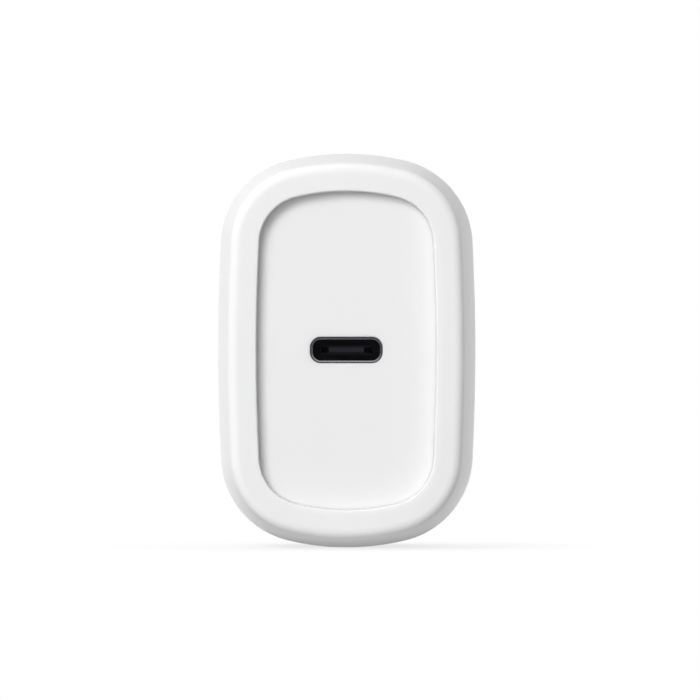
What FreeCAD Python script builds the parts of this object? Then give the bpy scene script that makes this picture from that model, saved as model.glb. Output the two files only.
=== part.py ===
import FreeCAD, Part
import math
import os

# Plug-in charger with one socket in its front and a folding two-blade plug in its back.
# All sizes are in millimetres. X runs across, Y from the socket side (-) to the plug side (+),
# and Z up. The origin is on the table under the middle of the case, whose arched bottom is cut
# flat by a hair there, so that it stands.

# Case
case_width = 33.0
case_height = 50.44
case_depth = 46.0
side_arc = 268.0
top_arc = 32.2
corner_arc = 11.25
wall = 1.9
widest_depth = 26.0
foot_flat = 0.12
front_draw_in = 1.75
back_draw_in = 1.0
front_round = 1.2
back_round = 2.0
lip_thickness = 0.9
lip_depth = 1.6
seam_gap = 0.08
fit_gap = 0.05

# Recessed front panel
ring_width = 5.1
recess_depth = 2.0
recess_slope = 0.12
recess_edge_round = 0.1
panel_thickness = 1.6
panel_ledge = 1.4

# Socket with 24 contacts
port_width = 8.38
port_height = 2.55
port_corner = 0.98
port_metal = 0.3
port_length = 7.35
port_rise = 0.07
port_sink = 0.05
port_panel_gap = 0.08
port_leg_width = 1.0
port_leg_set_back = 3.7
port_leg_stand_out = 0.42
tongue_width = 6.45
tongue_thickness = 0.7
tongue_set_back = 0.7
tongue_corner = 1.0
tongue_edge_chamfer = 0.12
tongue_root_thickness = 1.3
tongue_root_length = 1.3
tongue_root_round = 0.325
insulator_length = 2.6
plate_thickness = 0.12
plate_proud = 0.05
plate_set_back = 1.3
contact_count = 12
contact_pitch = 0.5
contact_width = 0.26
contact_thickness = 0.08
contact_set_back = 0.45
contact_corner_gap = 0.1
long_contact_set_back = 0.27
contact_foot = 0.45

# Folding plug
blade_spacing = 12.7
blade_thickness = 1.5
blade_width = 6.35
blade_reach = 17.0
blade_tip_round = 2.2
blade_edge_chamfer = 0.3
blade_hole = 3.96
blade_hole_reach = 11.9
blade_tail_width = 3.0
blade_tail_proud = 0.1
blade_side_gap = 0.3
blade_under_gap = 0.5
hub_size = 7.0
hub_length = 18.0
hub_corner = 1.5
hub_cam_corner = 2.55
hub_sink = 0.05
hub_window_gap = 0.15
hub_sweep_gap = 0.22
hub_end_gap = 0.3
stub_diameter = 3.0
stub_length = 2.0
stub_end_gap = 0.15
hinge_rise = 9.0
pocket_wall = 1.0
scoop_radius = 8.0
scoop_depth = 4.8
scoop_half_width = 9.6
scoop_end_round = 2.0
scoop_drop = 1.5
mouth_round = 0.25

# Plug retainer, its screws and springs
retainer_thickness = 2.0
retainer_margin = 0.6
ear_width = 4.8
boss_diameter = 4.2
boss_overlap = 0.3
screw_diameter = 2.0
screw_length = 6.0
screw_head_diameter = 3.8
screw_head_height = 1.3
screw_cross_reach = 1.15
screw_cross_width = 0.6
screw_cross_depth = 0.8
screw_hole_gap = 0.02
screw_clearance = 0.15
spring_metal = 0.3
contact_spring_width = 2.4
contact_spring_reach = 1.75
contact_gap = 0.02
spring_float = 0.18
lug_length = 1.3
detent_width = 5.2
detent_chord = 7.2
detent_gap = 0.05
detent_foot = 0.9
slot_gap = 0.1

# Wires from the plug to the main board
ac_wire_diameter = 1.3
ac_core_diameter = 0.7
ac_wire_bend = 1.5
ac_edge_gap = 0.9
ac_run_step = 2.4

# Boards
board_thickness = 1.2
solder_side_room = 3.2
board_wall_gap = 0.5
far_side_room = 3.3
rib_width = 1.1
rib_reach = 2.2
lead_stand_out = 0.6
lead_hole_gap = 0.1
lead_diameter = 0.6
part_gap = 0.4
stand_off = 0.3
port_board_margin = 4.8
port_board_behind = 6.8
port_tab_start = 5.0
port_tab_behind = 2.0
port_chip_behind = 1.8
controller_size = 4.0
controller_height = 0.8
controller_x = -5.0
switch_size = 3.3
switch_height = 0.9
switch_x = 1.0

# Transformer
core_width = 18.0
core_depth = 12.0
core_height = 16.4
core_back = 2.9
core_leg_radius = 4.35
core_window_radius = 7.2
core_rise = 0.8
transformer_back_gap = 1.0
bobbin_wall = 0.6
bobbin_gap = 0.15
primary_thickness = 1.1
secondary_thickness = 0.7
tape_thickness = 0.15
rail_width = 1.2
rail_length = 15.0
pins_per_rail = 5
pin_pitch = 3.0
pin_diameter = 0.7

# Round capacitors, which stand on the main board
bulk_diameter = 10.0
bulk_rise = 10.8
bulk_pitch = 5.0
bulk_panel_gap = 1.1
sleeve_thickness = 0.15
can_edge_round = 0.5
output_diameter = 6.3
output_length = 12.0
output_pitch = 3.5
output_panel_gap = 0.6

# Mains choke
choke_diameter = 12.5
choke_bore = 6.5
choke_width = 4.6
choke_wire = 0.9
choke_wind_angle = 118.0
choke_drop = 0.2
choke_lug_gap = 0.2
choke_base_height = 1.2
choke_base_length = 10.0
choke_seat_rise = 4.0
choke_lead_y = 1.5
choke_lead_z = 3.75

# Boxed and dipped parts on the main board, boxes as (along Y, along Z, along X)
x_capacitor_size = (11.0, 5.6, 12.0)
x_capacitor_pitch = 7.5
x_capacitor_board_gap = 0.4
fuse_size = (7.4, 4.0, 7.7)
fuse_pitch = 5.0
fuse_retainer_gap = 1.3
box_corner = 0.4
thermistor_diameter = 7.5
thermistor_thickness = 2.8
thermistor_shift = 1.0
y_capacitor_diameter = 7.0
y_capacitor_thickness = 3.6
y_capacitor_shift = 0.8
disc_pitch = 5.0

# Chips on the main board's solder side: name, then how far its middle is in front of the
# retainer and above the case's middle, its size along Y, its size along Z and its height.
power_switch_height = 0.9
power_switch_ahead = 14.3
power_switch_rise = 6.6
flat_parts = [
    ("bridge_rectifier", 5.3, 10.6, 8.6, 6.0, 1.5),
    ("power_switch", power_switch_ahead, power_switch_rise, 8.0, 7.0, power_switch_height),
    ("control_chip", 22.0, 3.4, 3.9, 4.9, 1.4),
]
# The same for the two chips behind the port board's tab, with their gap to the tab first.
tab_parts = [
    ("sync_rectifier", 2.3, -10.6, 6.0, 5.0, 1.0),
    ("optocoupler", 0.4, -3.6, 4.4, 6.8, 1.6),
]
chip_rows = 4
chip_columns = 3
chip_pitch_y = 3.0
chip_pitch_z = 2.6
chip_length = 2.0
chip_width = 1.25
chip_height = 0.7
chips_ahead = 25.6
pad_size = 9.0
pad_thickness = 0.8
spreader_thickness = 0.5
spreader_ahead = 11.4
spreader_rise = 0.2
spreader_length = 15.6
spreader_height = 19.6
film_thickness = 0.2
film_margin = 1.2

# Places that follow from the case
front_y = -case_depth / 2
back_y = case_depth / 2
widest_y = front_y + widest_depth
half_width = case_width / 2
half_height = case_height / 2
middle_z = half_height - foot_flat
panel_front_y = front_y + recess_depth
panel_back_y = panel_front_y + panel_thickness
panel_inset = ring_width + recess_slope - panel_ledge

# Centre of the outline's corner arc, where it meets the side and top arcs smoothly
side_centre_x = half_width - side_arc
top_centre_z = half_height - top_arc
centre_distance = math.hypot(side_centre_x, top_centre_z)
side_reach = side_arc - corner_arc
top_reach = top_arc - corner_arc
along = (side_reach ** 2 - top_reach ** 2 + centre_distance ** 2) / (2 * centre_distance)
across = math.sqrt(side_reach ** 2 - along ** 2)
towards_x = -side_centre_x / centre_distance
towards_z = top_centre_z / centre_distance
corner_x = side_centre_x + along * towards_x - across * towards_z
corner_z = along * towards_z + across * towards_x
side_angle = math.atan2(corner_z, corner_x - side_centre_x)
top_angle = math.atan2(corner_z - top_centre_z, corner_x)

# Places of the socket
port_front_y = panel_front_y + port_sink
port_back_y = port_front_y + port_length
port_outer_width = port_width + 2 * port_metal
port_outer_height = port_height + 2 * port_metal
port_outer_corner = port_corner + port_metal
port_z = middle_z + port_rise
port_board_top_z = port_z - port_outer_height / 2 - fit_gap
port_board_bottom_z = port_board_top_z - board_thickness
tongue_front_y = port_front_y + tongue_set_back
insulator_front_y = port_back_y - insulator_length
tab_back_y = port_back_y + port_tab_behind

# Places of the plug
hinge_y = back_y - hub_sink - hub_size / 2
hinge_z = middle_z + hinge_rise
hub_sweep = (hub_size / 2 - hub_corner) * math.sqrt(2) + hub_corner
cam_sweep = (hub_size / 2 - hub_cam_corner) * math.sqrt(2) + hub_cam_corner
chamber_radius = hub_sweep + hub_sweep_gap
chamber_half_length = hub_length / 2 + hub_end_gap
window_half_height = hub_size / 2 + hub_window_gap
tail_radius = cam_sweep + blade_tail_proud
blade_length = blade_reach + back_y - hinge_y
slot_half_width = blade_thickness / 2 + blade_side_gap
slot_floor_y = hinge_y - blade_width / 2 - blade_under_gap
slot_bottom_z = hinge_z - blade_length - blade_under_gap
stub_end_x = hub_length / 2 + stub_length
cheek_end_x = stub_end_x + pocket_wall
scoop_y = back_y + scoop_radius - scoop_depth
scoop_z = hinge_z - blade_length + scoop_drop

# Places of the retainer and the springs
contact_face_y = hinge_y - tail_radius - contact_gap
retainer_back_y = contact_face_y - spring_metal - spring_float
retainer_front_y = retainer_back_y - retainer_thickness
boss_rise = chamber_radius + boss_diameter / 2 + boss_overlap
retainer_screw_places = [hinge_z - boss_rise, hinge_z + boss_rise]
lug_z = hinge_z + hub_size / 2 + spring_metal
ac_wire_y = retainer_front_y - screw_head_height - slot_gap - ac_wire_diameter / 2
lug_front_y = ac_wire_y - lug_length / 2

# Places of the main board, which fills the case's room where it stands
board_solder_x = -half_width + wall + solder_side_room
board_x = board_solder_x + board_thickness
part_x = board_x + stand_off
far_x = half_width - wall - far_side_room
lead_end_x = board_solder_x - lead_stand_out
board_corner_reach = math.sqrt((corner_arc - wall - board_wall_gap) ** 2 - (-board_solder_x - corner_x) ** 2)
board_low_z = middle_z - corner_z - board_corner_reach
board_high_z = middle_z + corner_z + board_corner_reach

# Places of what stands on the main board
rail_z = core_depth / 2 + bobbin_gap + rail_width / 2
transformer_y = retainer_front_y - transformer_back_gap - core_width / 2
transformer_z = port_board_bottom_z - part_gap - rail_z - rail_width / 2
core_joint_x = board_x + core_rise + core_height / 2
bobbin_half_length = core_height / 2 - core_back - bobbin_gap
bobbin_low_x = core_joint_x - bobbin_half_length
bobbin_high_x = core_joint_x + bobbin_half_length
bulk_length = far_x - part_x
bulk_front_y = panel_back_y + bulk_panel_gap + bulk_diameter / 2
bulk_back_y = bulk_front_y + bulk_diameter + part_gap
bulk_z = middle_z + bulk_rise
output_y = panel_back_y + output_panel_gap + output_diameter / 2
output_high_z = port_board_bottom_z - 2 * part_gap - output_diameter / 2
output_low_z = output_high_z - part_gap - output_diameter
rib_back_y = transformer_y - core_width / 2 - part_gap
rib_low_z = output_low_z - output_diameter / 2 - part_gap
rib_high_z = board_high_z - rib_reach
choke_x = part_x + choke_base_height + choke_wire + choke_diameter / 2
choke_y = lug_front_y - choke_lug_gap - choke_wire - choke_width / 2
choke_z = bulk_z - choke_drop
fuse_y = retainer_front_y - fuse_retainer_gap - fuse_size[0] / 2
fuse_z = transformer_z + rail_z + rail_width / 2 + part_gap + fuse_size[1] / 2
x_capacitor_y = choke_y - choke_width / 2 - choke_wire - part_gap - x_capacitor_size[0] / 2
x_capacitor_z = port_board_top_z + switch_height + x_capacitor_board_gap + x_capacitor_size[1] / 2
thermistor_y = bulk_back_y + thermistor_shift
thermistor_z = bulk_z + bulk_diameter / 2 + part_gap + thermistor_thickness / 2
y_capacitor_y = output_y + output_diameter / 2 + part_gap + y_capacitor_thickness / 2
y_capacitor_z = output_low_z + y_capacitor_shift

# Every lead that goes through the main board adds its hole here as (y, z, diameter).
board_holes = []


def vec(x, y, z):
    return FreeCAD.Vector(x, y, z)


def box(x_range, y_range, z_range):
    """Block between two values on each axis."""
    low = vec(min(x_range), min(y_range), min(z_range))
    high = vec(max(x_range), max(y_range), max(z_range))
    size = high - low
    return Part.makeBox(size.x, size.y, size.z, low)


def centred(x_range, y, z, y_size, z_size):
    """Block that stands on a board: a range along X and a size about a centre on Y and Z."""
    return box(x_range, (y - y_size / 2, y + y_size / 2), (z - z_size / 2, z + z_size / 2))


def rod_x(x_range, y, z, radius):
    start = vec(min(x_range), y, z)
    return Part.makeCylinder(radius, abs(x_range[1] - x_range[0]), start, vec(1, 0, 0))


def rod_y(x, y_range, z, radius):
    start = vec(x, min(y_range), z)
    return Part.makeCylinder(radius, abs(y_range[1] - y_range[0]), start, vec(0, 1, 0))


def joined(first, *others):
    """One solid from several that touch or overlap."""
    return first.fuse(list(others)).removeSplitter()


def edges_on_y(shape, y):
    """Edges of a shape that lie in the plane at y."""
    found = []
    for edge in shape.Edges:
        ends_lie_there = all(abs(vertex.Y - y) < 1e-4 for vertex in edge.Vertexes)
        if ends_lie_there and abs(edge.CenterOfMass.y - y) < 1e-4:
            found.append(edge)
    return found


def flat_edges_on_x(shape):
    """Edges of a shape that lie square to X, such as the rims of a disc."""
    return [edge for edge in shape.Edges if edge.BoundBox.XLength < 1e-6]


def save(name, *solids):
    shape = solids[0] if len(solids) == 1 else Part.makeCompound(list(solids))
    for solid in shape.Solids:
        if not solid.isValid():
            print("not valid:", name)
    shape.exportStep("parts/" + name + ".step")
    print(name, len(shape.Solids), round(shape.Volume, 2))


def quarter_arcs(inset):
    """Three points on each arc of the outline's first quarter, as (x, z) from its middle."""
    arcs = [
        (side_centre_x, 0, side_arc, 0, side_angle),
        (corner_x, corner_z, corner_arc, side_angle, top_angle),
        (0, top_centre_z, top_arc, top_angle, math.pi / 2),
    ]
    found = []
    for x, z, radius, start, end in arcs:
        reach = radius - inset
        angles = (start, (start + end) / 2, end)
        found.append([(x + reach * math.cos(angle), z + reach * math.sin(angle)) for angle in angles])
    return found


def outline(inset, y):
    """Closed wire parallel to the case's widest outline, at one depth.

    It is a side arc, a corner arc and a top arc that meet smoothly, mirrored into four quarters.
    An inset makes every arc smaller by the same amount, so walls stay even.
    """
    edges = []
    for x_side, z_side in ((1, 1), (-1, 1), (-1, -1), (1, -1)):
        quarter = []
        for arc in quarter_arcs(inset):
            quarter.append([vec(x_side * x, y, middle_z + z_side * z) for x, z in arc])
        if x_side * z_side < 0:
            quarter = [arc[::-1] for arc in quarter[::-1]]
        edges += [Part.Arc(*arc).toShape() for arc in quarter]
    return Part.Wire(edges)


def draw_in(y):
    """How far the case's sides have drawn in at one depth, from its widest plane."""
    if y < widest_y:
        return front_draw_in * ((widest_y - y) / (widest_y - front_y)) ** 2
    return back_draw_in * ((y - widest_y) / (back_y - widest_y)) ** 2


def crowned(inset, start_y, end_y):
    """Solid with the case's gently swelling sides, inset from its outside, between two depths."""
    steps = 4 if end_y <= widest_y or start_y >= widest_y else 9
    sections = []
    for step in range(steps):
        y = start_y + (end_y - start_y) * step / (steps - 1)
        sections.append(outline(inset + draw_in(y), y))
    return Part.makeLoft(sections, True, False)


def straight(inset, start_y, end_y):
    """Prism of the case's outline, inset from the widest plane."""
    return Part.Face(outline(inset, start_y)).extrude(vec(0, end_y - start_y, 0))


def cut_foot(solid):
    """Solid without what is below the table."""
    return solid.cut(box((-half_width, half_width), (front_y, back_y), (-case_height, 0)))


def front_outside():
    solid = crowned(0, front_y, widest_y - seam_gap / 2)
    return cut_foot(solid.makeFillet(front_round, edges_on_y(solid, front_y)))


def back_outside():
    solid = crowned(0, widest_y + seam_gap / 2, back_y)
    return cut_foot(solid.makeFillet(back_round, edges_on_y(solid, back_y)))


def case_room(gap, start_y, end_y):
    """The space inside the case's walls, less a gap all round."""
    return crowned(wall + gap, start_y, end_y)


def board_ribs(outside):
    """Four ribs that hold the main board's top and bottom edges in the front shell."""
    solder_side = (board_solder_x - fit_gap - rib_width, board_solder_x - fit_gap)
    part_side = (board_x + fit_gap, board_x + fit_gap + rib_width)
    ribs = []
    for x_range in (solder_side, part_side):
        for z_range in ((0, rib_low_z), (rib_high_z, case_height)):
            rib = box(x_range, (panel_back_y + rib_width, rib_back_y), z_range)
            ribs.append(rib.common(outside))
    return ribs


def front_shell():
    """Front half of the case: a cup with the flat ring and the recess's sloped wall in its end."""
    outside = front_outside()
    lip = crowned(wall - lip_thickness, widest_y - lip_depth, widest_y + lip_depth)
    shell = outside.fuse(lip)
    shell = shell.cut(crowned(wall, panel_back_y, widest_y + 2 * lip_depth))
    shell = shell.fuse(board_ribs(outside))
    shell = shell.cut(straight(panel_inset - fit_gap, panel_front_y, panel_back_y + rib_width / 2))
    wide = outline(ring_width, front_y)
    narrow = outline(ring_width + recess_slope, panel_front_y)
    shell = shell.cut(Part.makeLoft([wide, narrow], True, True)).removeSplitter()
    ring = [face for face in shell.Faces if abs(face.BoundBox.YMax - front_y) < 1e-4][0]
    recess_edge = [wire for wire in ring.Wires if not wire.isSame(ring.OuterWire)][0]
    return shell.makeFillet(recess_edge_round, recess_edge.Edges)


def slab(width, height, corner, y_range):
    """Rounded rectangle centred on the socket, as a prism along Y."""
    block = box((-width / 2, width / 2), y_range, (port_z - height / 2, port_z + height / 2))
    long_edges = [edge for edge in block.Edges if edge.BoundBox.YLength > abs(y_range[1] - y_range[0]) / 2]
    return block.makeFillet(corner, long_edges)


def port_slab(grow, y_range):
    """The socket shell's outer shape, grown all round."""
    return slab(port_outer_width + 2 * grow, port_outer_height + 2 * grow, port_outer_corner + grow, y_range)


def front_panel():
    """Flat panel that closes the recess from behind, with the socket's slot and a locating collar."""
    panel = straight(panel_inset, panel_front_y, panel_back_y)
    collar_y = panel_back_y + panel_thickness
    collar = port_slab(rib_width, (panel_front_y + panel_thickness / 2, collar_y))
    board_room = box((-half_width, half_width), (panel_back_y, collar_y), (0, port_board_top_z + part_gap))
    panel = panel.fuse(collar.cut(board_room))
    panel = panel.cut(port_slab(port_panel_gap, (front_y, collar_y + 1))).removeSplitter()
    face = [face for face in panel.Faces if abs(face.BoundBox.YMax - panel_front_y) < 1e-4][0]
    mouth = [wire for wire in face.Wires if not wire.isSame(face.OuterWire)][0]
    return panel.makeFillet(port_panel_gap, mouth.Edges)


def hub():
    """The plug's hub: a square with round corners, the one by the detent spring rounder."""
    half = hub_size / 2
    blocks = []
    corner_signs = [(1, 1, hub_corner), (1, -1, hub_corner), (-1, -1, hub_corner), (-1, 1, hub_cam_corner)]
    for y_side, z_side, radius in corner_signs:
        edge_y = hinge_y + y_side * half
        edge_z = hinge_z + z_side * half
        quarter = box((-hub_length / 2, hub_length / 2), (hinge_y, edge_y), (hinge_z, edge_z))
        outer = [
            edge
            for edge in quarter.Edges
            if abs(edge.CenterOfMass.y - edge_y) < 1e-6 and abs(edge.CenterOfMass.z - edge_z) < 1e-6
        ]
        blocks.append(quarter.makeFillet(radius, outer))
    return joined(*blocks)


def on_hinge(x_start, x_end, radius):
    """Round bar about the plug's hinge line."""
    return rod_x((x_start, x_end), hinge_y, hinge_z, radius)


def blade(x):
    """Plug blade, folded down: a rounded tip, a hole, and a round-ended tail past the hub."""
    x_range = (x - blade_thickness / 2, x + blade_thickness / 2)
    body = centred(x_range, hinge_y, hinge_z - blade_length / 2, blade_width, blade_length)
    tip_z = hinge_z - blade_length
    tips = [
        edge
        for edge in body.Edges
        if edge.BoundBox.XLength > blade_thickness / 2 and abs(edge.CenterOfMass.z - tip_z) < 1e-6
    ]
    body = body.makeFillet(blade_tip_round, tips)
    body = body.makeChamfer(blade_edge_chamfer, flat_edges_on_x(body))
    tail = centred(x_range, hinge_y, hinge_z + tail_radius / 2, blade_tail_width, tail_radius)
    tail = tail.common(on_hinge(*x_range, tail_radius))
    hole_z = hinge_z - (back_y - hinge_y) - blade_hole_reach
    return joined(body, tail).cut(rod_x(x_range, hinge_y, hole_z, blade_hole / 2))


def plug_carrier():
    """Plastic hub moulded round the two blades, with a pivot stub at each end."""
    carrier = hub()
    for side in (-1, 1):
        start = side * (hub_length / 2 - pocket_wall)
        carrier = carrier.fuse(on_hinge(start, side * stub_end_x, stub_diameter / 2))
    for side in (-1, 1):
        carrier = carrier.cut(blade(side * blade_spacing / 2))
    return carrier.removeSplitter()


def open_inwards(radius, half_length):
    """Round space about the hinge line that runs straight out of the back shell's inner side."""
    x_range = (-half_length, half_length)
    straight_part = box(x_range, (retainer_front_y, hinge_y), (hinge_z - radius, hinge_z + radius))
    return on_hinge(*x_range, radius).fuse(straight_part)


def scoop(grow):
    """Finger scoop across the two folded blade tips, or the same shape grown by a wall."""
    half = scoop_half_width + grow
    tool = rod_x((-half, half), scoop_y, scoop_z, scoop_radius + grow)
    return tool.makeFillet(scoop_end_round, flat_edges_on_x(tool))


def round_mouth(shell, z):
    """Shell with the rim rounded on the opening in its back face that lies about one height."""
    shell = shell.removeSplitter()
    face = [face for face in shell.Faces if abs(face.BoundBox.YMin - back_y) < 1e-4][0]
    mouths = [wire for wire in face.Wires if not wire.isSame(face.OuterWire)]
    mouth = min(mouths, key=lambda wire: abs(wire.BoundBox.Center.z - z))
    return shell.makeFillet(mouth_round, mouth.Edges)


def pocket_walls():
    """Thick places inside the back shell: round the hub, the slots, the scoop and the screws."""
    reach = chamber_radius + pocket_wall
    depth = (retainer_back_y, back_y)
    walls = [box((-cheek_end_x, cheek_end_x), depth, (hinge_z - reach, hinge_z + reach)), scoop(pocket_wall)]
    for side in (-1, 1):
        x = side * blade_spacing / 2
        half = slot_half_width + pocket_wall
        walls.append(box((x - half, x + half), depth, (slot_bottom_z - pocket_wall, hinge_z)))
    for z in retainer_screw_places:
        walls.append(rod_y(0, depth, z, boss_diameter / 2))
    return walls


def back_shell():
    """Back half of the case, with the hub's chamber, the two blade slots and the finger scoop."""
    outside = back_outside()
    shell = outside.cut(crowned(wall, widest_y - 1, back_y - wall))
    rebate_y = widest_y + lip_depth + fit_gap
    shell = shell.cut(crowned(wall - lip_thickness - fit_gap, widest_y - 1, rebate_y))
    for piece in pocket_walls():
        shell = shell.fuse(piece.common(outside))
    shell = round_mouth(shell.cut(scoop(0)), scoop_z)
    shell = shell.cut(open_inwards(chamber_radius, chamber_half_length))
    window_z = (hinge_z - window_half_height, hinge_z + window_half_height)
    window_x = (-chamber_half_length, chamber_half_length)
    shell = round_mouth(shell.cut(box(window_x, (hinge_y, back_y + 1), window_z)), hinge_z)
    shell = shell.cut(open_inwards(stub_diameter / 2 + fit_gap, stub_end_x + stub_end_gap))
    for side in (-1, 1):
        x = side * blade_spacing / 2
        slot_x = (x - slot_half_width, x + slot_half_width)
        shell = shell.cut(box(slot_x, (slot_floor_y, back_y + 1), (slot_bottom_z, hinge_z)))
    hole_end_y = retainer_front_y + screw_length + part_gap
    for z in retainer_screw_places:
        shell = shell.cut(rod_y(0, (retainer_back_y, hole_end_y), z, screw_diameter / 2 + screw_hole_gap))
    return shell.removeSplitter()


def plug_retainer():
    """Plate screwed behind the hub: it closes the pivot saddles and carries the three springs."""
    plate_y = (retainer_front_y, retainer_back_y)
    half = chamber_radius + retainer_margin
    plate = box((-cheek_end_x, cheek_end_x), plate_y, (hinge_z - half, hinge_z + half))
    ear_reach = boss_rise + boss_diameter / 2
    ears = box((-ear_width / 2, ear_width / 2), plate_y, (hinge_z - ear_reach, hinge_z + ear_reach))
    plate = joined(plate, ears)
    radius = stub_diameter / 2
    for side in (-1, 1):
        x_range = (side * chamber_half_length, side * stub_end_x)
        finger_y = (retainer_back_y - fit_gap, hinge_y - radius / 2)
        finger = box(x_range, finger_y, (hinge_z - radius, hinge_z + radius))
        plate = plate.fuse(finger.cut(on_hinge(*x_range, radius + fit_gap)))
    for side in (-1, 1):
        x = side * blade_spacing / 2
        reach = contact_spring_width / 2 + slot_gap
        lug_room = (lug_z - slot_gap, lug_z + spring_metal + slot_gap)
        plate = plate.cut(box((x - reach, x + reach), plate_y, lug_room))
    reach = detent_width / 2 + slot_gap
    foot_y = (retainer_back_y - detent_foot - slot_gap, retainer_back_y)
    for side in (-1, 1):
        z = hinge_z + side * detent_chord / 2
        foot_room = (z - spring_metal - slot_gap, z + spring_metal + slot_gap)
        plate = plate.cut(box((-reach, reach), foot_y, foot_room))
    for z in retainer_screw_places:
        plate = plate.cut(rod_y(0, plate_y, z, screw_diameter / 2 + screw_clearance))
    return plate.common(case_room(fit_gap, retainer_front_y - 1, back_y)).removeSplitter()


def retainer_screw(z):
    """Small pan-head screw with a cross recess."""
    head_y = retainer_front_y - screw_head_height
    head = rod_y(0, (head_y, retainer_front_y), z, screw_head_diameter / 2)
    rim = [edge for edge in edges_on_y(head, head_y) if edge.Length > screw_head_diameter]
    head = head.makeFillet(screw_head_height / 2, rim)
    shank = rod_y(0, (retainer_front_y, retainer_front_y + screw_length), z, screw_diameter / 2)
    long_side = (-screw_cross_reach, screw_cross_reach)
    short_side = (-screw_cross_width / 2, screw_cross_width / 2)
    depth = (head_y, head_y + screw_cross_depth)
    flat = box(long_side, depth, (z + short_side[0], z + short_side[1]))
    upright = box(short_side, depth, (z + long_side[0], z + long_side[1]))
    return joined(head, shank).cut(flat.fuse(upright))


def contact_spring(x):
    """Bronze leaf that the blade's tail meets when unfolded, with a lug through the retainer."""
    x_range = (x - contact_spring_width / 2, x + contact_spring_width / 2)
    leaf_z = (hinge_z - contact_spring_reach, lug_z + spring_metal)
    leaf = box(x_range, (contact_face_y - spring_metal, contact_face_y), leaf_z)
    lug = box(x_range, (lug_front_y, contact_face_y - spring_metal), (lug_z, lug_z + spring_metal))
    return joined(leaf, lug)


def detent_spring():
    """Arched leaf that presses on the hub's flat and holds the plug folded or open."""
    crest_y = hinge_y - hub_size / 2 - detent_gap
    rise = crest_y - retainer_back_y
    half = detent_chord / 2
    radius = (half ** 2 + rise ** 2) / (2 * rise)
    x_range = (-detent_width / 2, detent_width / 2)
    centre_y = crest_y - radius
    arch = rod_x(x_range, centre_y, hinge_z, radius)
    arch = arch.cut(rod_x(x_range, centre_y, hinge_z, radius - spring_metal))
    arch = arch.common(box(x_range, (retainer_back_y, crest_y + 1), (hinge_z - half, hinge_z + half)))
    foot_y = (retainer_back_y - detent_foot, retainer_back_y + spring_metal / 2)
    feet = []
    for side in (-1, 1):
        foot_z = (hinge_z + side * (half - spring_metal), hinge_z + side * half)
        feet.append(box(x_range, foot_y, foot_z))
    return joined(arch, *feet)


def bent_path(points, bend):
    """Wire of straight runs joined by tangent arcs of one radius."""
    edges = []
    start = points[0]
    for before, corner, after in zip(points, points[1:], points[2:]):
        into = (corner - before).normalize()
        out = (after - corner).normalize()
        angle = into.getAngle(out)
        reach = bend * math.tan(angle / 2)
        arc_start = corner - into * reach
        arc_end = corner + out * reach
        inside = (out - into).normalize()
        middle = corner + inside * (bend / math.cos(angle / 2) - bend)
        edges.append(Part.LineSegment(start, arc_start).toShape())
        edges.append(Part.Arc(arc_start, middle, arc_end).toShape())
        start = arc_end
    edges.append(Part.LineSegment(start, points[-1]).toShape())
    return Part.Wire(edges)


def swept(path, radius):
    """Round wire along a path."""
    first = path.Edges[0]
    start = first.valueAt(first.FirstParameter)
    direction = first.tangentAt(first.FirstParameter)
    circle = Part.Wire(Part.makeCircle(radius, start, direction))
    return path.makePipeShell([circle], True, False)


def board_lead(y, z, top_x, diameter):
    """Straight lead from a part, through the main board, and its hole."""
    board_holes.append((y, z, diameter))
    return rod_x((lead_end_x, top_x), y, z, diameter / 2)


def ac_lead(side):
    """Insulated wire from a contact spring's lug up and across to the main board."""
    start_z = lug_z + spring_metal
    turn_z = board_high_z - ac_edge_gap - (ac_run_step if side < 0 else 0)
    x = side * blade_spacing / 2
    points = [vec(x, ac_wire_y, start_z), vec(x, ac_wire_y, turn_z), vec(board_x, ac_wire_y, turn_z)]
    core = board_lead(ac_wire_y, turn_z, part_x, ac_core_diameter)
    return joined(swept(bent_path(points, ac_wire_bend), ac_wire_diameter / 2), core)


def shell_legs(gap):
    """The socket's four legs, or their holes in the board when given a gap."""
    legs = []
    half = port_leg_width / 2
    z_range = (port_board_bottom_z - port_leg_stand_out - gap, port_z)
    for side in (-1, 1):
        x_range = (side * (port_width / 2 - gap), side * (port_outer_width / 2 + gap))
        for y in (port_front_y + port_leg_set_back, port_back_y - port_leg_width):
            legs.append(box(x_range, (y - half - gap, y + half + gap), z_range))
    return legs


def port_shell():
    """Drawn steel shell of the socket, open at the front, with four legs through the port board."""
    outer = port_slab(0, (port_front_y, port_back_y))
    inner = slab(port_width, port_height, port_corner, (port_front_y - 1, port_back_y + 1))
    tube = outer.cut(inner)
    tube = tube.makeFillet(port_metal / 3, edges_on_y(tube, port_front_y))
    return tube.fuse(shell_legs(0)).removeSplitter()


def port_contact(number, side):
    """One contact strip on the tongue, with its tail bent down to the port board."""
    x = (number - (contact_count - 1) / 2) * contact_pitch
    x_range = (x - contact_width / 2, x + contact_width / 2)
    outer_z = port_z + side * tongue_thickness / 2
    inner_z = outer_z - side * contact_thickness
    is_long = number in (0, 3, contact_count - 4, contact_count - 1)
    corner_set_back = max(map(abs, x_range)) - tongue_width / 2 + tongue_corner + contact_corner_gap
    set_back = max(long_contact_set_back if is_long else contact_set_back, corner_set_back)
    start_y = tongue_front_y + set_back
    tail_y = port_back_y + contact_foot * (1 if side < 0 else 3)
    strip = box(x_range, (start_y, tail_y), (inner_z, outer_z))
    drop = box(x_range, (tail_y, tail_y + contact_thickness), (port_board_top_z, max(inner_z, outer_z)))
    foot_z = (port_board_top_z, port_board_top_z + contact_thickness)
    foot = box(x_range, (tail_y, tail_y + contact_foot), foot_z)
    return joined(strip, drop, foot)


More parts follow.
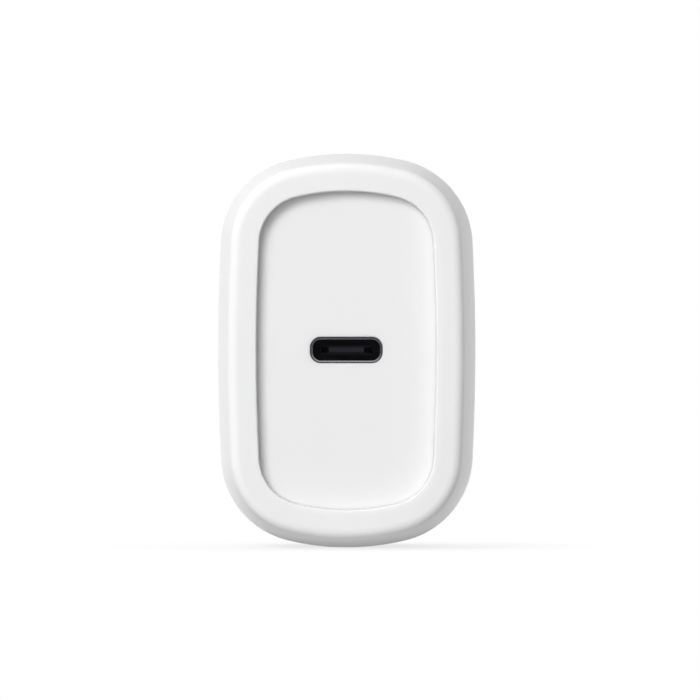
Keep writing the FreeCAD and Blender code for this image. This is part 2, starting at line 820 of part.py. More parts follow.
def port_mid_plate():
    """Steel plate inside the tongue that stiffens it; its edges show at the tongue's sides."""
    half = tongue_width / 2 + plate_proud
    z_range = (port_z - plate_thickness / 2, port_z + plate_thickness / 2)
    return box((-half, half), (tongue_front_y + plate_set_back, port_back_y), z_range)


def port_insulator(contacts, plate):
    """Black moulding inside the shell: the back block, the thick root and the thin tongue."""
    gap = fit_gap / 2
    inside = (port_width - 2 * gap, port_height - 2 * gap, port_corner - gap)
    block = slab(*inside, (insulator_front_y, port_back_y))
    root_y = (insulator_front_y - tongue_root_length, insulator_front_y + 1)
    root = slab(tongue_width, tongue_root_thickness, tongue_root_round, root_y)
    tongue = box((-tongue_width / 2, tongue_width / 2), (tongue_front_y, insulator_front_y + 1),
                 (port_z - tongue_thickness / 2, port_z + tongue_thickness / 2))
    corners = [edge for edge in edges_on_y(tongue, tongue_front_y) if edge.BoundBox.XLength < 1e-6]
    tongue = tongue.makeChamfer(tongue_corner, corners)
    tip = [edge for edge in edges_on_y(tongue, tongue_front_y) if edge.BoundBox.XLength > 1]
    tongue = tongue.makeChamfer(tongue_edge_chamfer, tip)
    return joined(block, root, tongue).cut(Part.makeCompound(contacts)).cut(plate)


def port_tab(gap):
    """The tab that joins the port board to the main board, or its slot when given a gap."""
    x_range = (board_solder_x - 1, board_x + 1) if gap else (lead_end_x + stand_off, part_x)
    y_range = (port_front_y + port_tab_start - gap, tab_back_y + gap)
    return box(x_range, y_range, (port_board_bottom_z - gap, port_board_top_z + gap))


def port_board():
    """Board under the socket, square to the main board."""
    x_range = (board_x + fit_gap, port_width / 2 + port_board_margin)
    y_range = (panel_back_y + stand_off, port_back_y + port_board_behind)
    plate = box(x_range, y_range, (port_board_bottom_z, port_board_top_z)).fuse(port_tab(0))
    for leg in shell_legs(lead_hole_gap):
        plate = plate.cut(leg)
    return plate.removeSplitter()


def port_chip(x, size, height):
    """Flat square chip on the port board, behind the socket."""
    y = (port_back_y + port_chip_behind + port_back_y + port_board_behind) / 2
    chip_z = (port_board_top_z, port_board_top_z + height)
    return box((x - size / 2, x + size / 2), (y - size / 2, y + size / 2), chip_z)


def about_core(x_range, radius):
    return rod_x(x_range, transformer_y, transformer_z, radius)


def core_half(side):
    """One half of the ferrite core: a back, two outer legs and the round middle leg."""
    back_x = core_joint_x + side * core_height / 2
    window_x = back_x - side * core_back
    half = centred((core_joint_x, back_x), transformer_y, transformer_z, core_width, core_depth)
    window = about_core((core_joint_x, window_x), core_window_radius)
    leg = about_core((core_joint_x, window_x), core_leg_radius)
    return half.cut(window.cut(leg))


def transformer_bobbin():
    """Spool round the middle leg with a flange at each end and a pin rail on two sides."""
    inner = core_leg_radius + bobbin_gap
    flange_radius = core_window_radius - bobbin_gap
    spool = about_core((bobbin_low_x, bobbin_high_x), inner + bobbin_wall)
    for start in (bobbin_low_x, bobbin_high_x - bobbin_wall):
        spool = spool.fuse(about_core((start, start + bobbin_wall), flange_radius))
    rail_x = (part_x, bobbin_low_x + bobbin_wall)
    for side in (-1, 1):
        z = transformer_z + side * rail_z
        spool = spool.fuse(centred(rail_x, transformer_y, z, rail_length, rail_width))
    return spool.cut(about_core((bobbin_low_x, bobbin_high_x), inner)).removeSplitter()


def transformer_windings():
    """Primary, secondary and tape, each wound over the one before it."""
    x_range = (bobbin_low_x + bobbin_wall + bobbin_gap, bobbin_high_x - bobbin_wall - bobbin_gap)
    layers = []
    radius = core_leg_radius + bobbin_gap + bobbin_wall
    for thickness in (primary_thickness, secondary_thickness, tape_thickness):
        layers.append(about_core(x_range, radius + thickness).cut(about_core(x_range, radius)))
        radius += thickness
    return layers


def transformer_pins():
    """Two rows of pins, pressed into the bobbin's rails."""
    pins = []
    for side in (-1, 1):
        for number in range(pins_per_rail):
            y = transformer_y + (number - (pins_per_rail - 1) / 2) * pin_pitch
            pins.append(board_lead(y, transformer_z + side * rail_z, part_x, pin_diameter))
    return pins


def capacitor_can(y, z, diameter, length, pitch):
    """Aluminium can that stands on the main board, with its two leads through it."""
    can = rod_x((part_x, part_x + length), y, z, diameter / 2 - sleeve_thickness)
    can = can.makeFillet(can_edge_round, flat_edges_on_x(can))
    leads = [board_lead(y + side * pitch / 2, z, part_x + stand_off, lead_diameter) for side in (-1, 1)]
    return joined(can, *leads)


def capacitor_sleeve(y, z, diameter, length):
    """Thin shrunk sleeve round a can's side."""
    x_range = (part_x + can_edge_round, part_x + length - can_edge_round)
    return rod_x(x_range, y, z, diameter / 2).cut(rod_x(x_range, y, z, diameter / 2 - sleeve_thickness))


def choke_ring(outer, bore, width):
    """Flat ring about the choke's axis."""
    y_range = (choke_y - width / 2, choke_y + width / 2)
    return rod_y(choke_x, y_range, choke_z, outer / 2).cut(rod_y(choke_x, y_range, choke_z, bore / 2))


def choke_core():
    ring = choke_ring(choke_diameter, choke_bore, choke_width)
    return ring.makeFillet(can_edge_round, [edge for edge in ring.Edges if edge.BoundBox.YLength < 1e-6])


def choke_winding(side):
    """One of the two equal windings, above or below the ring's middle."""
    grow = 2 * choke_wire
    gap = 2 * fit_gap
    cover = choke_ring(choke_diameter + grow, choke_bore - grow, choke_width + grow)
    cover = cover.cut(choke_ring(choke_diameter + gap, choke_bore - gap, choke_width + gap))
    half = math.radians(choke_wind_angle / 2)
    middle = vec(choke_x, choke_y - choke_diameter, choke_z)
    corners = [middle]
    for angle in (-half, -half / 2, 0, half / 2, half):
        corners.append(middle + vec(math.sin(angle), 0, side * math.cos(angle)) * choke_diameter)
    wedge = Part.Face(Part.makePolygon(corners + [middle])).extrude(vec(0, 2 * choke_diameter, 0))
    return cover.common(wedge)


def choke_base():
    """Plastic seat between the choke and the main board."""
    top_x = part_x + choke_base_height + choke_seat_rise
    block = centred((part_x, top_x), choke_y, choke_z, choke_width + 2 * choke_wire, choke_base_length)
    seat_y = (choke_y - choke_diameter, choke_y + choke_diameter)
    return block.cut(rod_y(choke_x, seat_y, choke_z, choke_diameter / 2 + choke_wire + fit_gap))


def choke_leads():
    """Four tails of the choke's windings, through the seat and the main board."""
    leads = []
    for y in (choke_y - choke_lead_y, choke_y + choke_lead_y):
        for z in (choke_z - choke_lead_z, choke_z + choke_lead_z):
            leads.append(board_lead(y, z, part_x, ac_core_diameter))
    return leads


def boxed_part(y, z, size, pitch):
    """Moulded box with two leads, such as a film capacitor or a fuse."""
    body = centred((part_x, part_x + size[2]), y, z, size[0], size[1])
    body = body.makeFillet(box_corner, body.Edges)
    leads = [board_lead(y + side * pitch / 2, z, part_x + box_corner, lead_diameter) for side in (-1, 1)]
    return joined(body, *leads)


def disc_part(y, z, diameter, thickness, along_z):
    """Coated disc that stands on two leads, such as a thermistor or a disc capacitor."""
    x = part_x + stand_off + diameter / 2
    axis = vec(0, 0, 1) if along_z else vec(0, 1, 0)
    disc = Part.makeCylinder(diameter / 2, thickness, vec(x, y, z) - axis * (thickness / 2), axis)
    rims = [edge for edge in disc.Edges if len(edge.Vertexes) == 1]
    disc = disc.makeFillet(thickness / 3, rims)
    leads = []
    for shift in (-disc_pitch / 2, disc_pitch / 2):
        lead_y = y + shift if along_z else y
        lead_z = z if along_z else z + shift
        leads.append(board_lead(lead_y, lead_z, x - diameter / 4, lead_diameter))
    return joined(disc, *leads)


def on_solder_side(y, rise, y_size, z_size, depth, height):
    """Flat piece on the solder side, its inner face a depth away from the board."""
    x_range = (board_solder_x - depth - height, board_solder_x - depth)
    return centred(x_range, y, middle_z + rise, y_size, z_size)


def chip_parts():
    """Small resistors and capacitors in rows on the solder side."""
    chips = []
    for row in range(chip_rows):
        for column in range(chip_columns):
            y = retainer_front_y - chips_ahead - (column - (chip_columns - 1) / 2) * chip_pitch_y
            rise = bulk_rise + (row - (chip_rows - 1) / 2) * chip_pitch_z
            chips.append(on_solder_side(y, rise, chip_length, chip_width, 0, chip_height))
    return chips


def solder_side_sheet(margin, depth, thickness):
    """Sheet over the solder side's warm parts."""
    length = spreader_length + 2 * margin
    height = spreader_height + 2 * margin
    y = retainer_front_y - spreader_ahead
    return on_solder_side(y, spreader_rise, length, height, depth, thickness)


def main_board():
    """Board that stands on edge along one side of the case and fills its outline."""
    x_range = (board_solder_x, board_x)
    y_range = (panel_back_y + rib_width, ac_wire_y + ac_wire_diameter)
    plate = box(x_range, y_range, (board_low_z, board_high_z))
    plate = plate.common(case_room(board_wall_gap, panel_back_y, retainer_back_y))
    for y, z, diameter in board_holes:
        plate = plate.cut(rod_x(x_range, y, z, diameter / 2 + lead_hole_gap))
    return plate.cut(port_tab(lead_hole_gap))


os.makedirs("parts", exist_ok=True)

# The case and the folding plug
save("front_shell", front_shell())
save("back_shell", back_shell())
save("front_panel", front_panel())
save("plug_carrier", plug_carrier())
save("plug_retainer", plug_retainer())
save("retainer_screws", *[retainer_screw(z) for z in retainer_screw_places])
save("detent_spring", detent_spring())
for side_name, side in (("left", -1), ("right", 1)):
    save("blade_" + side_name, blade(side * blade_spacing / 2))
    save("contact_spring_" + side_name, contact_spring(side * blade_spacing / 2))
    save("ac_lead_" + side_name, ac_lead(side))

# The socket and its board
contacts = [port_contact(number, side) for side in (-1, 1) for number in range(contact_count)]
mid_plate = port_mid_plate()
save("port_shell", port_shell())
save("port_insulator", port_insulator(contacts, mid_plate))
save("port_mid_plate", mid_plate)
save("port_contacts", *contacts)
save("port_board", port_board())
save("port_controller", port_chip(controller_x, controller_size, controller_height))
save("port_switch", port_chip(switch_x, switch_size, switch_height))

# The transformer
save("transformer_core_lower", core_half(-1))
save("transformer_core_upper", core_half(1))
save("transformer_bobbin", transformer_bobbin())
for name, layer in zip(("primary_winding", "secondary_winding", "transformer_tape"), transformer_windings()):
    save(name, layer)
save("transformer_pins", *transformer_pins())

# The other parts on the main board
bulk_places = ((bulk_front_y, bulk_z), (bulk_back_y, bulk_z))
output_places = ((output_y, output_high_z), (output_y, output_low_z))
bulk_cans = [capacitor_can(y, z, bulk_diameter, bulk_length, bulk_pitch) for y, z in bulk_places]
save("bulk_capacitor_cans", *bulk_cans)
save("bulk_capacitor_sleeves", *[capacitor_sleeve(y, z, bulk_diameter, bulk_length) for y, z in bulk_places])
output_cans = [capacitor_can(y, z, output_diameter, output_length, output_pitch) for y, z in output_places]
save("output_capacitors", *output_cans)
save("choke_core", choke_core())
save("choke_winding_upper", choke_winding(1))
save("choke_winding_lower", choke_winding(-1))
save("choke_base", choke_base())
save("choke_leads", *choke_leads())
save("x_capacitor", boxed_part(x_capacitor_y, x_capacitor_z, x_capacitor_size, x_capacitor_pitch))
save("fuse", boxed_part(fuse_y, fuse_z, fuse_size, fuse_pitch))
thermistor = disc_part(thermistor_y, thermistor_z, thermistor_diameter, thermistor_thickness, True)
save("inrush_thermistor", thermistor)
y_capacitor = disc_part(y_capacitor_y, y_capacitor_z, y_capacitor_diameter, y_capacitor_thickness, False)
save("y_capacitor", y_capacitor)

# The solder side, with the power switch's pad and spreader and a film over them
for name, ahead, rise, y_size, z_size, height in flat_parts:
    save(name, on_solder_side(retainer_front_y - ahead, rise, y_size, z_size, 0, height))
for name, gap, rise, y_size, z_size, height in tab_parts:
    save(name, on_solder_side(tab_back_y + gap + y_size / 2, rise, y_size, z_size, 0, height))
save("chip_parts", *chip_parts())
pad_place = (retainer_front_y - power_switch_ahead, power_switch_rise, pad_size, pad_size)
save("thermal_pad", on_solder_side(*pad_place, power_switch_height, pad_thickness))
spreader_depth = power_switch_height + pad_thickness
save("heat_spreader", solder_side_sheet(0, spreader_depth, spreader_thickness))
film_depth = spreader_depth + spreader_thickness + fit_gap
save("insulating_film", solder_side_sheet(film_margin, film_depth, film_thickness))
save("main_board", main_board())
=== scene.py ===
import math

import bmesh
import bpy
from mathutils import Matrix, Vector


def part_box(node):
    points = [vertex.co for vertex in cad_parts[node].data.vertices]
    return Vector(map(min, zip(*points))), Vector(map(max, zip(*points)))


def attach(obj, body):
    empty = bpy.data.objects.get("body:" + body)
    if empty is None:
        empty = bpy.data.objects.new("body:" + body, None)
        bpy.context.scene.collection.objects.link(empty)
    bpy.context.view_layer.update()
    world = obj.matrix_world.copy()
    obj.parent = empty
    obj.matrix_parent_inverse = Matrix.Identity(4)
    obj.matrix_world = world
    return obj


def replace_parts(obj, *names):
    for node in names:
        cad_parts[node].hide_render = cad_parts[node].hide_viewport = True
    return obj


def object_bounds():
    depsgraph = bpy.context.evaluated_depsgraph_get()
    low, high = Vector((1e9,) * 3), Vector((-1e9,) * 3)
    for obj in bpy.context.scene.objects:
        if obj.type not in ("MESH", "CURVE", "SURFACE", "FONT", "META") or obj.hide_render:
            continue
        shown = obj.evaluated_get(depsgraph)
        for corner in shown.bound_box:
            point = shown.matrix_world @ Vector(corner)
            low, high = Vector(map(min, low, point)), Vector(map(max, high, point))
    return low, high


# The charger as it was engineered: every piece at its real size and place, in metres, with its face to -Y.
# It stands on its foot at height 0, and its folding plug is at the back.
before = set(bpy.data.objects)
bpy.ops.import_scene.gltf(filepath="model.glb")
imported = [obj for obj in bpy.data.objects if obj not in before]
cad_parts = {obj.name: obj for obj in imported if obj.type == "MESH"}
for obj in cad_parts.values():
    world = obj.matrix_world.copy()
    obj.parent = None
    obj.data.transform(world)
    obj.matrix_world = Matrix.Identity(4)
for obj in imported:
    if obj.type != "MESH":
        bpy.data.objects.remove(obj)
cad_low, cad_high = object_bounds()
MM = 0.001
middle_height = (cad_low.z + cad_high.z) / 2
face_y = cad_low.y


# Shader values. Arithmetic on a value adds Math nodes, and any other node comes from Finish.add.
# Each finish below is one material, built from these for one of the charger's own surfaces.
class Value:
    def __init__(self, finish, socket):
        self.finish = finish
        self.socket = socket

    def math(self, operation, *terms):
        return self.finish.add("ShaderNodeMath", {"operation": operation}, dict(enumerate(terms)))

    def __add__(self, other):
        return self.math("ADD", self, other)

    def __sub__(self, other):
        return self.math("SUBTRACT", self, other)

    def __rsub__(self, other):
        return self.math("SUBTRACT", other, self)

    def __mul__(self, other):
        return self.math("MULTIPLY", self, other)

    def __truediv__(self, other):
        return self.math("DIVIDE", self, other)

    def __gt__(self, other):
        return self.math("GREATER_THAN", self, other)

    def __lt__(self, other):
        return self.math("LESS_THAN", self, other)

    def __abs__(self):
        return self.math("ABSOLUTE", self)

    def limited(self):
        return self.finish.add("ShaderNodeClamp", {}, {"Value": self}, "Result")

    def along(self, axis):
        return self.finish.add("ShaderNodeSeparateXYZ", {}, {"Vector": self}, axis)

    __radd__ = __add__
    __rmul__ = __mul__


class Finish:
    def __init__(self, owner):
        owner.use_nodes = True
        self.owner = owner
        self.tree = owner.node_tree
        self.tree.nodes.clear()

    def add(self, kind, settings, sockets, output=0):
        node = self.tree.nodes.new(kind)
        for name, value in settings.items():
            setattr(node, name, value)
        for name, value in sockets.items():
            if isinstance(value, Value):
                self.tree.links.new(value.socket, node.inputs[name])
            elif isinstance(value, tuple) and len(node.inputs[name].default_value) == 4:
                node.inputs[name].default_value = (*value, 1)
            else:
                node.inputs[name].default_value = value
        return Value(self, node.outputs[output]) if node.outputs else None


# The room: a pale floor and white surroundings, as in a product photograph. Soft light comes from the left,
# above, behind and off the table, which is darker behind the foot, where the charger shades it.
# A mirror sees white behind, and ahead a studio that is dim at eye level and bright above.
FLOOR_HALF = 3.0
SHADOW_REACH = 0.036
SHADOW_SHOWN = 0.3
FLOOR_COLOUR = (0.86, 0.86, 0.865)
BOUNCE_COLOUR = (0.5, 0.5, 0.504)
BOUNCE_SHARE = 0.5
TABLE_START = -0.03
TABLE_FADE = 0.04
TABLE_LIGHT_BEHIND = 0.89
TABLE_LIGHT_AHEAD = 0.2
TABLE_LIGHT_UNDER = 0.56
FOOT_START = 1.25
FOOT_FADE = 0.5
STUDIO_AHEAD = 0.12
STUDIO_ABOVE = 0.9
TABLE_AHEAD = 0.16
HORIZON_FADE = 0.3
ROOM_LIGHT = [((-1, 0, 0), 0.34), ((0, 0, 1), 0.68), ((0, 1, 0), 0.25)]


def kinds_of_ray(finish):
    """Marks for rays from the camera, and for those off a shiny surface or through a clear one."""
    camera = finish.add("ShaderNodeLightPath", {}, {}, "Is Camera Ray")
    glossy = finish.add("ShaderNodeLightPath", {}, {}, "Is Glossy Ray")
    through = finish.add("ShaderNodeLightPath", {}, {}, "Is Transmission Ray")
    return camera, (glossy + through).limited()


def blend(finish, share, first, second):
    """A colour between two, by their places among a colour mix's sockets."""
    return finish.add("ShaderNodeMix", {"data_type": "RGBA"}, {"Factor": share, 6: first, 7: second}, 2)


surroundings = bpy.data.worlds.new("white_surroundings")
bpy.context.scene.world = surroundings
sky = Finish(surroundings)
direction = sky.add("ShaderNodeTexCoord", {}, {}, "Generated")
soft_light = 0
for axis, level in ROOM_LIGHT:
    facing = sky.add("ShaderNodeVectorMath", {"operation": "DOT_PRODUCT"}, {0: direction, 1: axis}, "Value")
    soft_light = soft_light + level * facing.math("MAXIMUM", facing, 0)
behind = (direction.along("Y") / HORIZON_FADE).limited()
studio = STUDIO_AHEAD + (STUDIO_ABOVE - STUDIO_AHEAD) * direction.along("Z").limited()
mirror_view = studio + (1 - studio) * behind
camera_ray, mirrored_ray = kinds_of_ray(sky)
sky_level = soft_light + (mirror_view - soft_light) * mirrored_ray
sky_level = sky_level + (1 - sky_level) * camera_ray
background = sky.add("ShaderNodeBackground", {}, {"Color": (1, 1, 1), "Strength": sky_level})
sky.add("ShaderNodeOutputWorld", {}, {"Surface": background})

floor_mesh = bpy.data.meshes.new("floor")
shape = bmesh.new()
bmesh.ops.create_grid(shape, x_segments=1, y_segments=1, size=FLOOR_HALF)
shape.to_mesh(floor_mesh)
shape.free()
floor = bpy.data.objects.new("floor", floor_mesh)
bpy.context.scene.collection.objects.link(floor)
pale = Finish(bpy.data.materials.new("pale_floor"))
place = pale.add("ShaderNodeTexCoord", {}, {}, "Object")
distance = pale.add("ShaderNodeVectorMath", {"operation": "LENGTH"}, {0: place}, "Value")
near = (1 - distance / SHADOW_REACH).limited()
lit_table = ((place.along("Y") - TABLE_START) / TABLE_FADE).limited()
camera_ray, mirrored_ray = kinds_of_ray(pale)
seen = (camera_ray + mirrored_ray).limited()
glow = seen * (1 - SHADOW_SHOWN * near) + (1 - seen) * (1 - BOUNCE_SHARE)
mirrored_table = TABLE_AHEAD + (1 - TABLE_AHEAD) * lit_table
footprint = (1 / cad_high.x, 1 / cad_high.y, 1)
from_foot = pale.add("ShaderNodeVectorMath", {"operation": "MULTIPLY"}, {0: place, 1: footprint})
from_foot = pale.add("ShaderNodeVectorMath", {"operation": "LENGTH"}, {0: from_foot}, "Value")
under = ((FOOT_START - from_foot) / FOOT_FADE).limited()
light_ahead = TABLE_LIGHT_AHEAD + (TABLE_LIGHT_UNDER - TABLE_LIGHT_AHEAD) * under
light_behind = TABLE_LIGHT_BEHIND * (1 - under)
table_light = light_ahead + (light_behind - light_ahead) * lit_table
glow_level = camera_ray + mirrored_ray * mirrored_table + (1 - seen) * table_light / (1 - BOUNCE_SHARE)
lit = pale.add("ShaderNodeBsdfDiffuse", {}, {"Color": blend(pale, seen, BOUNCE_COLOUR, FLOOR_COLOUR)})
white = pale.add("ShaderNodeEmission", {}, {"Color": (1, 1, 1), "Strength": glow_level})
surface = pale.add("ShaderNodeMixShader", {}, {0: glow, 1: lit, 2: white})
pale.add("ShaderNodeOutputMaterial", {}, {"Surface": surface})
floor_mesh.materials.append(pale.owner)

# The lamp: one soft box from the upper left, in front of the charger, with no glint of its own.
# Its level is the share of its own colour at which a surface that faces it shows.
LAMP_REACH = 0.7
LAMP_SIDE = 0.3
LAMP_AIM = (-0.38, -0.84, 0.38)
LAMP_LEVEL = 0.74
lamp_data = bpy.data.lights.new("key_lamp", "AREA")
lamp_data.shape = "SQUARE"
lamp_data.size = LAMP_SIDE
lamp_data.energy = LAMP_LEVEL * math.pi**2 * LAMP_REACH**2
lamp = bpy.data.objects.new("key_lamp", lamp_data)
lamp.visible_glossy = False
bpy.context.scene.collection.objects.link(lamp)
towards = Vector(LAMP_AIM).normalized()
lamp.location = Vector((0, 0, middle_height)) + towards * LAMP_REACH
lamp.rotation_mode = "QUATERNION"
lamp.rotation_quaternion = towards.to_track_quat("Z", "Y")

# The camera: a long lens in front of the face, as the photograph's near-parallel sides show.
# It stands a little to the right of the middle and is turned back, so the face sits left in its outline.
CAMERA_REACH = 1.14
LENS = 467.0
CAMERA_RIGHT = 2.91 * MM
CAMERA_UP = 0.01 * MM
CAMERA_TURN = math.radians(0.123)
camera_data = bpy.data.cameras.new("camera")
camera_data.lens = LENS
camera = bpy.data.objects.new("camera", camera_data)
bpy.context.scene.collection.objects.link(camera)
camera.location = (CAMERA_RIGHT, face_y - CAMERA_REACH, middle_height + CAMERA_UP)
camera.rotation_euler = (math.radians(90), 0, CAMERA_TURN)
bpy.context.scene.camera = camera
bpy.context.scene.view_settings.view_transform = "Standard"


# The case: two white shells of tough moulded plastic, satin from the mould, that light soaks into a little.
# The front one holds the port's panel, the rear one the folding plug, and they meet in a fine seam.
CASE_COLOUR = (0.87, 0.87, 0.876)
SOAK_SHARE = 0.8
SOAK_REACH = 0.7 * MM


def mottle(finish, marks_per_metre, stretch=(1, 1, 1), detail=2.0):
    """A cloudy pattern from 0 to 1, drawn out in the ways where its stretch is small."""
    place = finish.add("ShaderNodeTexCoord", {}, {}, "Object")
    drawn = finish.add("ShaderNodeMapping", {}, {"Vector": place, "Scale": stretch})
    return finish.add(
        "ShaderNodeTexNoise", {}, {"Vector": drawn, "Scale": marks_per_metre, "Detail": detail}, "Fac"
    )


def toned(colour, share):
    """The same colour, darker with a share under 1 and paler with one above."""
    return tuple(share * part for part in colour)


def relief(finish, height, depth, strength=0.15):
    """A bump that follows a height pattern, as deep as depth where the pattern is 1."""
    return finish.add(
        "ShaderNodeBump", {}, {"Strength": strength, "Distance": depth, "Height": height}, "Normal"
    )


def surface_of(finish, sockets):
    return finish.add("ShaderNodeBsdfPrincipled", {}, sockets)


def finished(name, shader, *settings):
    """A material whose surface is built by one of the shader functions below."""
    finish = Finish(bpy.data.materials.new(name))
    surface = shader(finish, *settings)
    finish.add("ShaderNodeOutputMaterial", {}, {"Surface": surface})
    return finish.owner


def dress(material, *nodes):
    """Gives the engineered pieces their finish, on the meshes that they came with."""
    for node in nodes:
        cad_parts[node].material_slots[0].material = material


def moulded_plastic(finish, colour, least_roughness, grain_depth):
    cloud = mottle(finish, 90.0, detail=3.0)
    grain = mottle(finish, 9000.0)
    darker = toned(colour, 0.985)
    return surface_of(
        finish,
        {
            "Base Color": blend(finish, cloud, darker, colour),
            "Roughness": least_roughness + 0.08 * cloud,
            "Subsurface Weight": SOAK_SHARE,
            "Subsurface Radius": (1.0, 1.0, 1.0),
            "Subsurface Scale": SOAK_REACH,
            "Normal": relief(finish, grain, grain_depth),
        },
    )


dress(finished("case_plastic", moulded_plastic, CASE_COLOUR, 0.4, 0.01 * MM), "front_shell", "back_shell")
dress(finished("panel_plastic", moulded_plastic, CASE_COLOUR, 0.44, 0.008 * MM), "front_panel")

# The socket's shell: a drawn steel tube, polished dark, whose mouth is rolled in so that a plug finds it.
# Its four legs are soldered in the port board, and the tongue's stiffening plate is of the same steel.
STEEL_COLOUR = (0.5, 0.495, 0.525)
SHELL_METAL = 0.3 * MM
SHELL_CORNER = 1.28 * MM
CORNER_FACETS = 10
MOUTH_ROLL = 0.27 * MM
ROLL_FACETS = 6
LEG_WIDTH = 1.0 * MM
LEG_METAL = 0.26 * MM
LEG_SET_BACK = 3.7 * MM
LEG_FROM_END = 1.0 * MM
SHARP_EDGE = math.radians(35)
SAME_PLACE = 0.001 * MM


def drawn_steel(finish):
    streaks = mottle(finish, 2600.0, (1, 0.06, 1), 3.0)
    darker = toned(STEEL_COLOUR, 0.86)
    return surface_of(
        finish,
        {
            "Base Color": blend(finish, streaks, darker, STEEL_COLOUR),
            "Metallic": 1.0,
            "Roughness": 0.14 + 0.12 * streaks,
            "Normal": relief(finish, streaks, 0.002 * MM),
        },
    )


def piece_from(shape, name, material):
    """A new piece of the case, with a modelled shape and its own material and slot."""
    bmesh.ops.recalc_face_normals(shape, faces=shape.faces)
    mesh = bpy.data.meshes.new(name)
    shape.to_mesh(mesh)
    shape.free()
    piece = bpy.data.objects.new(name, mesh)
    bpy.context.scene.collection.objects.link(piece)
    mesh.materials.append(material)
    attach(piece, "case")
    return piece


def block(shape, low, high):
    """A plain block between two corners."""
    place = Matrix.Translation((low + high) / 2) @ Matrix.Diagonal((*(high - low), 1))
    bmesh.ops.create_cube(shape, size=1, matrix=place)


def round_over(shape, edges, radius, facets):
    """Rounds edges over with a fine bevel."""
    bmesh.ops.bevel(
        shape, geom=edges, offset=radius, affect="EDGES", segments=facets, profile=0.5, material=-1
    )


steel = finished("drawn_steel", drawn_steel)
dress(steel, "port_mid_plate")
shell_low, shell_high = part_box("port_shell")
socket_z = sum(corner.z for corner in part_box("port_insulator")) / 2
tube_floor = 2 * socket_z - shell_high.z
tube = bmesh.new()
block(tube, Vector((shell_low.x, shell_low.y, tube_floor)), shell_high)
lengthwise = [edge for edge in tube.edges if abs(edge.verts[0].co.y - edge.verts[1].co.y) > SHELL_METAL]
round_over(tube, lengthwise, SHELL_CORNER, CORNER_FACETS)
ends = [face for face in tube.faces if abs(face.normal.y) > 0.9]
bmesh.ops.inset_region(tube, faces=ends, thickness=SHELL_METAL, use_even_offset=True)
bore = [edge for face in ends for edge in face.edges]
bmesh.ops.delete(tube, geom=ends, context="FACES_ONLY")
bmesh.ops.bridge_loops(tube, edges=bore)
lip = [edge for edge in bore if max(vertex.co.y for vertex in edge.verts) < shell_low.y + SAME_PLACE]
round_over(tube, lip, MOUTH_ROLL, ROLL_FACETS)
leg_y = (shell_low.y + LEG_SET_BACK, shell_high.y - LEG_FROM_END)
for side in (-1, 1):
    leg_x = side * (shell_high.x - SHELL_METAL / 2)
    for y in leg_y:
        leg_low = Vector((leg_x - LEG_METAL / 2, y - LEG_WIDTH / 2, shell_low.z))
        block(tube, leg_low, Vector((leg_x + LEG_METAL / 2, y + LEG_WIDTH / 2, socket_z)))
shell = piece_from(tube, "port_shell_rolled", steel)
shell.data.shade_smooth()
shell.data.set_sharp_from_angle(angle=SHARP_EDGE)
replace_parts(shell, "port_shell")

# The socket's moulding: black polymer, with the thin tongue that holds the contacts, pressed in from behind.
# The tongue's cut corners carry painted shade, the deepest black, where the socket's gaps are dark,
# and the block behind it is painted paler, a painted light where the socket's back wall shows lit.
MOULDING_COLOUR = (0.0145, 0.0135, 0.02)
# The corner colour is a painted shade, and the block's colour is a painted light.
CORNER_PAINTED_SHADE = (0.0012, 0.0011, 0.0015)
BLOCK_PAINTED_LIGHT = (0.07, 0.066, 0.09)
TIP_HALF = 2.2 * MM
CORNER_DEPTH = 1.1 * MM
BLOCK_DEPTH = 2.3 * MM
tongue_front_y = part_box("port_insulator")[0].y


def socket_moulding(finish):
    place = finish.add("ShaderNodeTexCoord", {}, {}, "Object")
    # Painted shade: the tongue's cut corners, near its tip, are coloured near black.
    in_corner_shade = (abs(place.along("X")) > TIP_HALF) * (place.along("Y") < tongue_front_y + CORNER_DEPTH)
    fibres = mottle(finish, 5200.0, (1, 0.25, 1), 3.0)
    # Painted light: the block behind the tongue is coloured a paler grey, where its back wall shows lit.
    in_block_light = place.along("Y") > tongue_front_y + BLOCK_DEPTH
    tongue = blend(finish, fibres, MOULDING_COLOUR, toned(MOULDING_COLOUR, 1.3))
    tongue = blend(finish, in_corner_shade, tongue, CORNER_PAINTED_SHADE)
    return surface_of(
        finish,
        {
            "Base Color": blend(finish, in_block_light, tongue, BLOCK_PAINTED_LIGHT),
            "Roughness": 0.3 + 0.15 * fibres,
            "Specular IOR Level": 0.3,
            "Normal": relief(finish, fibres, 0.003 * MM),
        },
    )


dress(finished("socket_moulding", socket_moulding), "port_insulator")

# The contacts: stamped copper alloy strips, gold plated, laid in the tongue and bent down to the board.
# Twelve lie on each side of the tongue, so that a plug fits either way up.
GOLD_COLOUR = (0.83, 0.66, 0.33)


def plated_gold(finish):
    rubbed = mottle(finish, 3800.0, (1, 0.08, 1), 3.0)
    return surface_of(
        finish,
        {
            "Base Color": blend(finish, rubbed, (0.74, 0.56, 0.26), GOLD_COLOUR),
            "Metallic": 1.0,
            "Roughness": 0.2 + 0.16 * rubbed,
            "Normal": relief(finish, rubbed, 0.001 * MM),
        },
    )


dress(finished("plated_gold", plated_gold), "port_contacts")

# The plug's carrier: white glass-filled nylon, moulded round both blades, that turns on its two stubs.
# It is a shade duller than the case, with faint flow marks along the hub.
NYLON_COLOUR = (0.85, 0.85, 0.852)
dress(finished("white_nylon", moulded_plastic, NYLON_COLOUR, 0.46, 0.012 * MM), "plug_carrier")

# The blades: folded brass strip, nickel plated and brushed along its length, with a coined edge and a hole.
# Faint rub marks run the way that the blades go into an outlet.
NICKEL_COLOUR = (0.76, 0.74, 0.7)


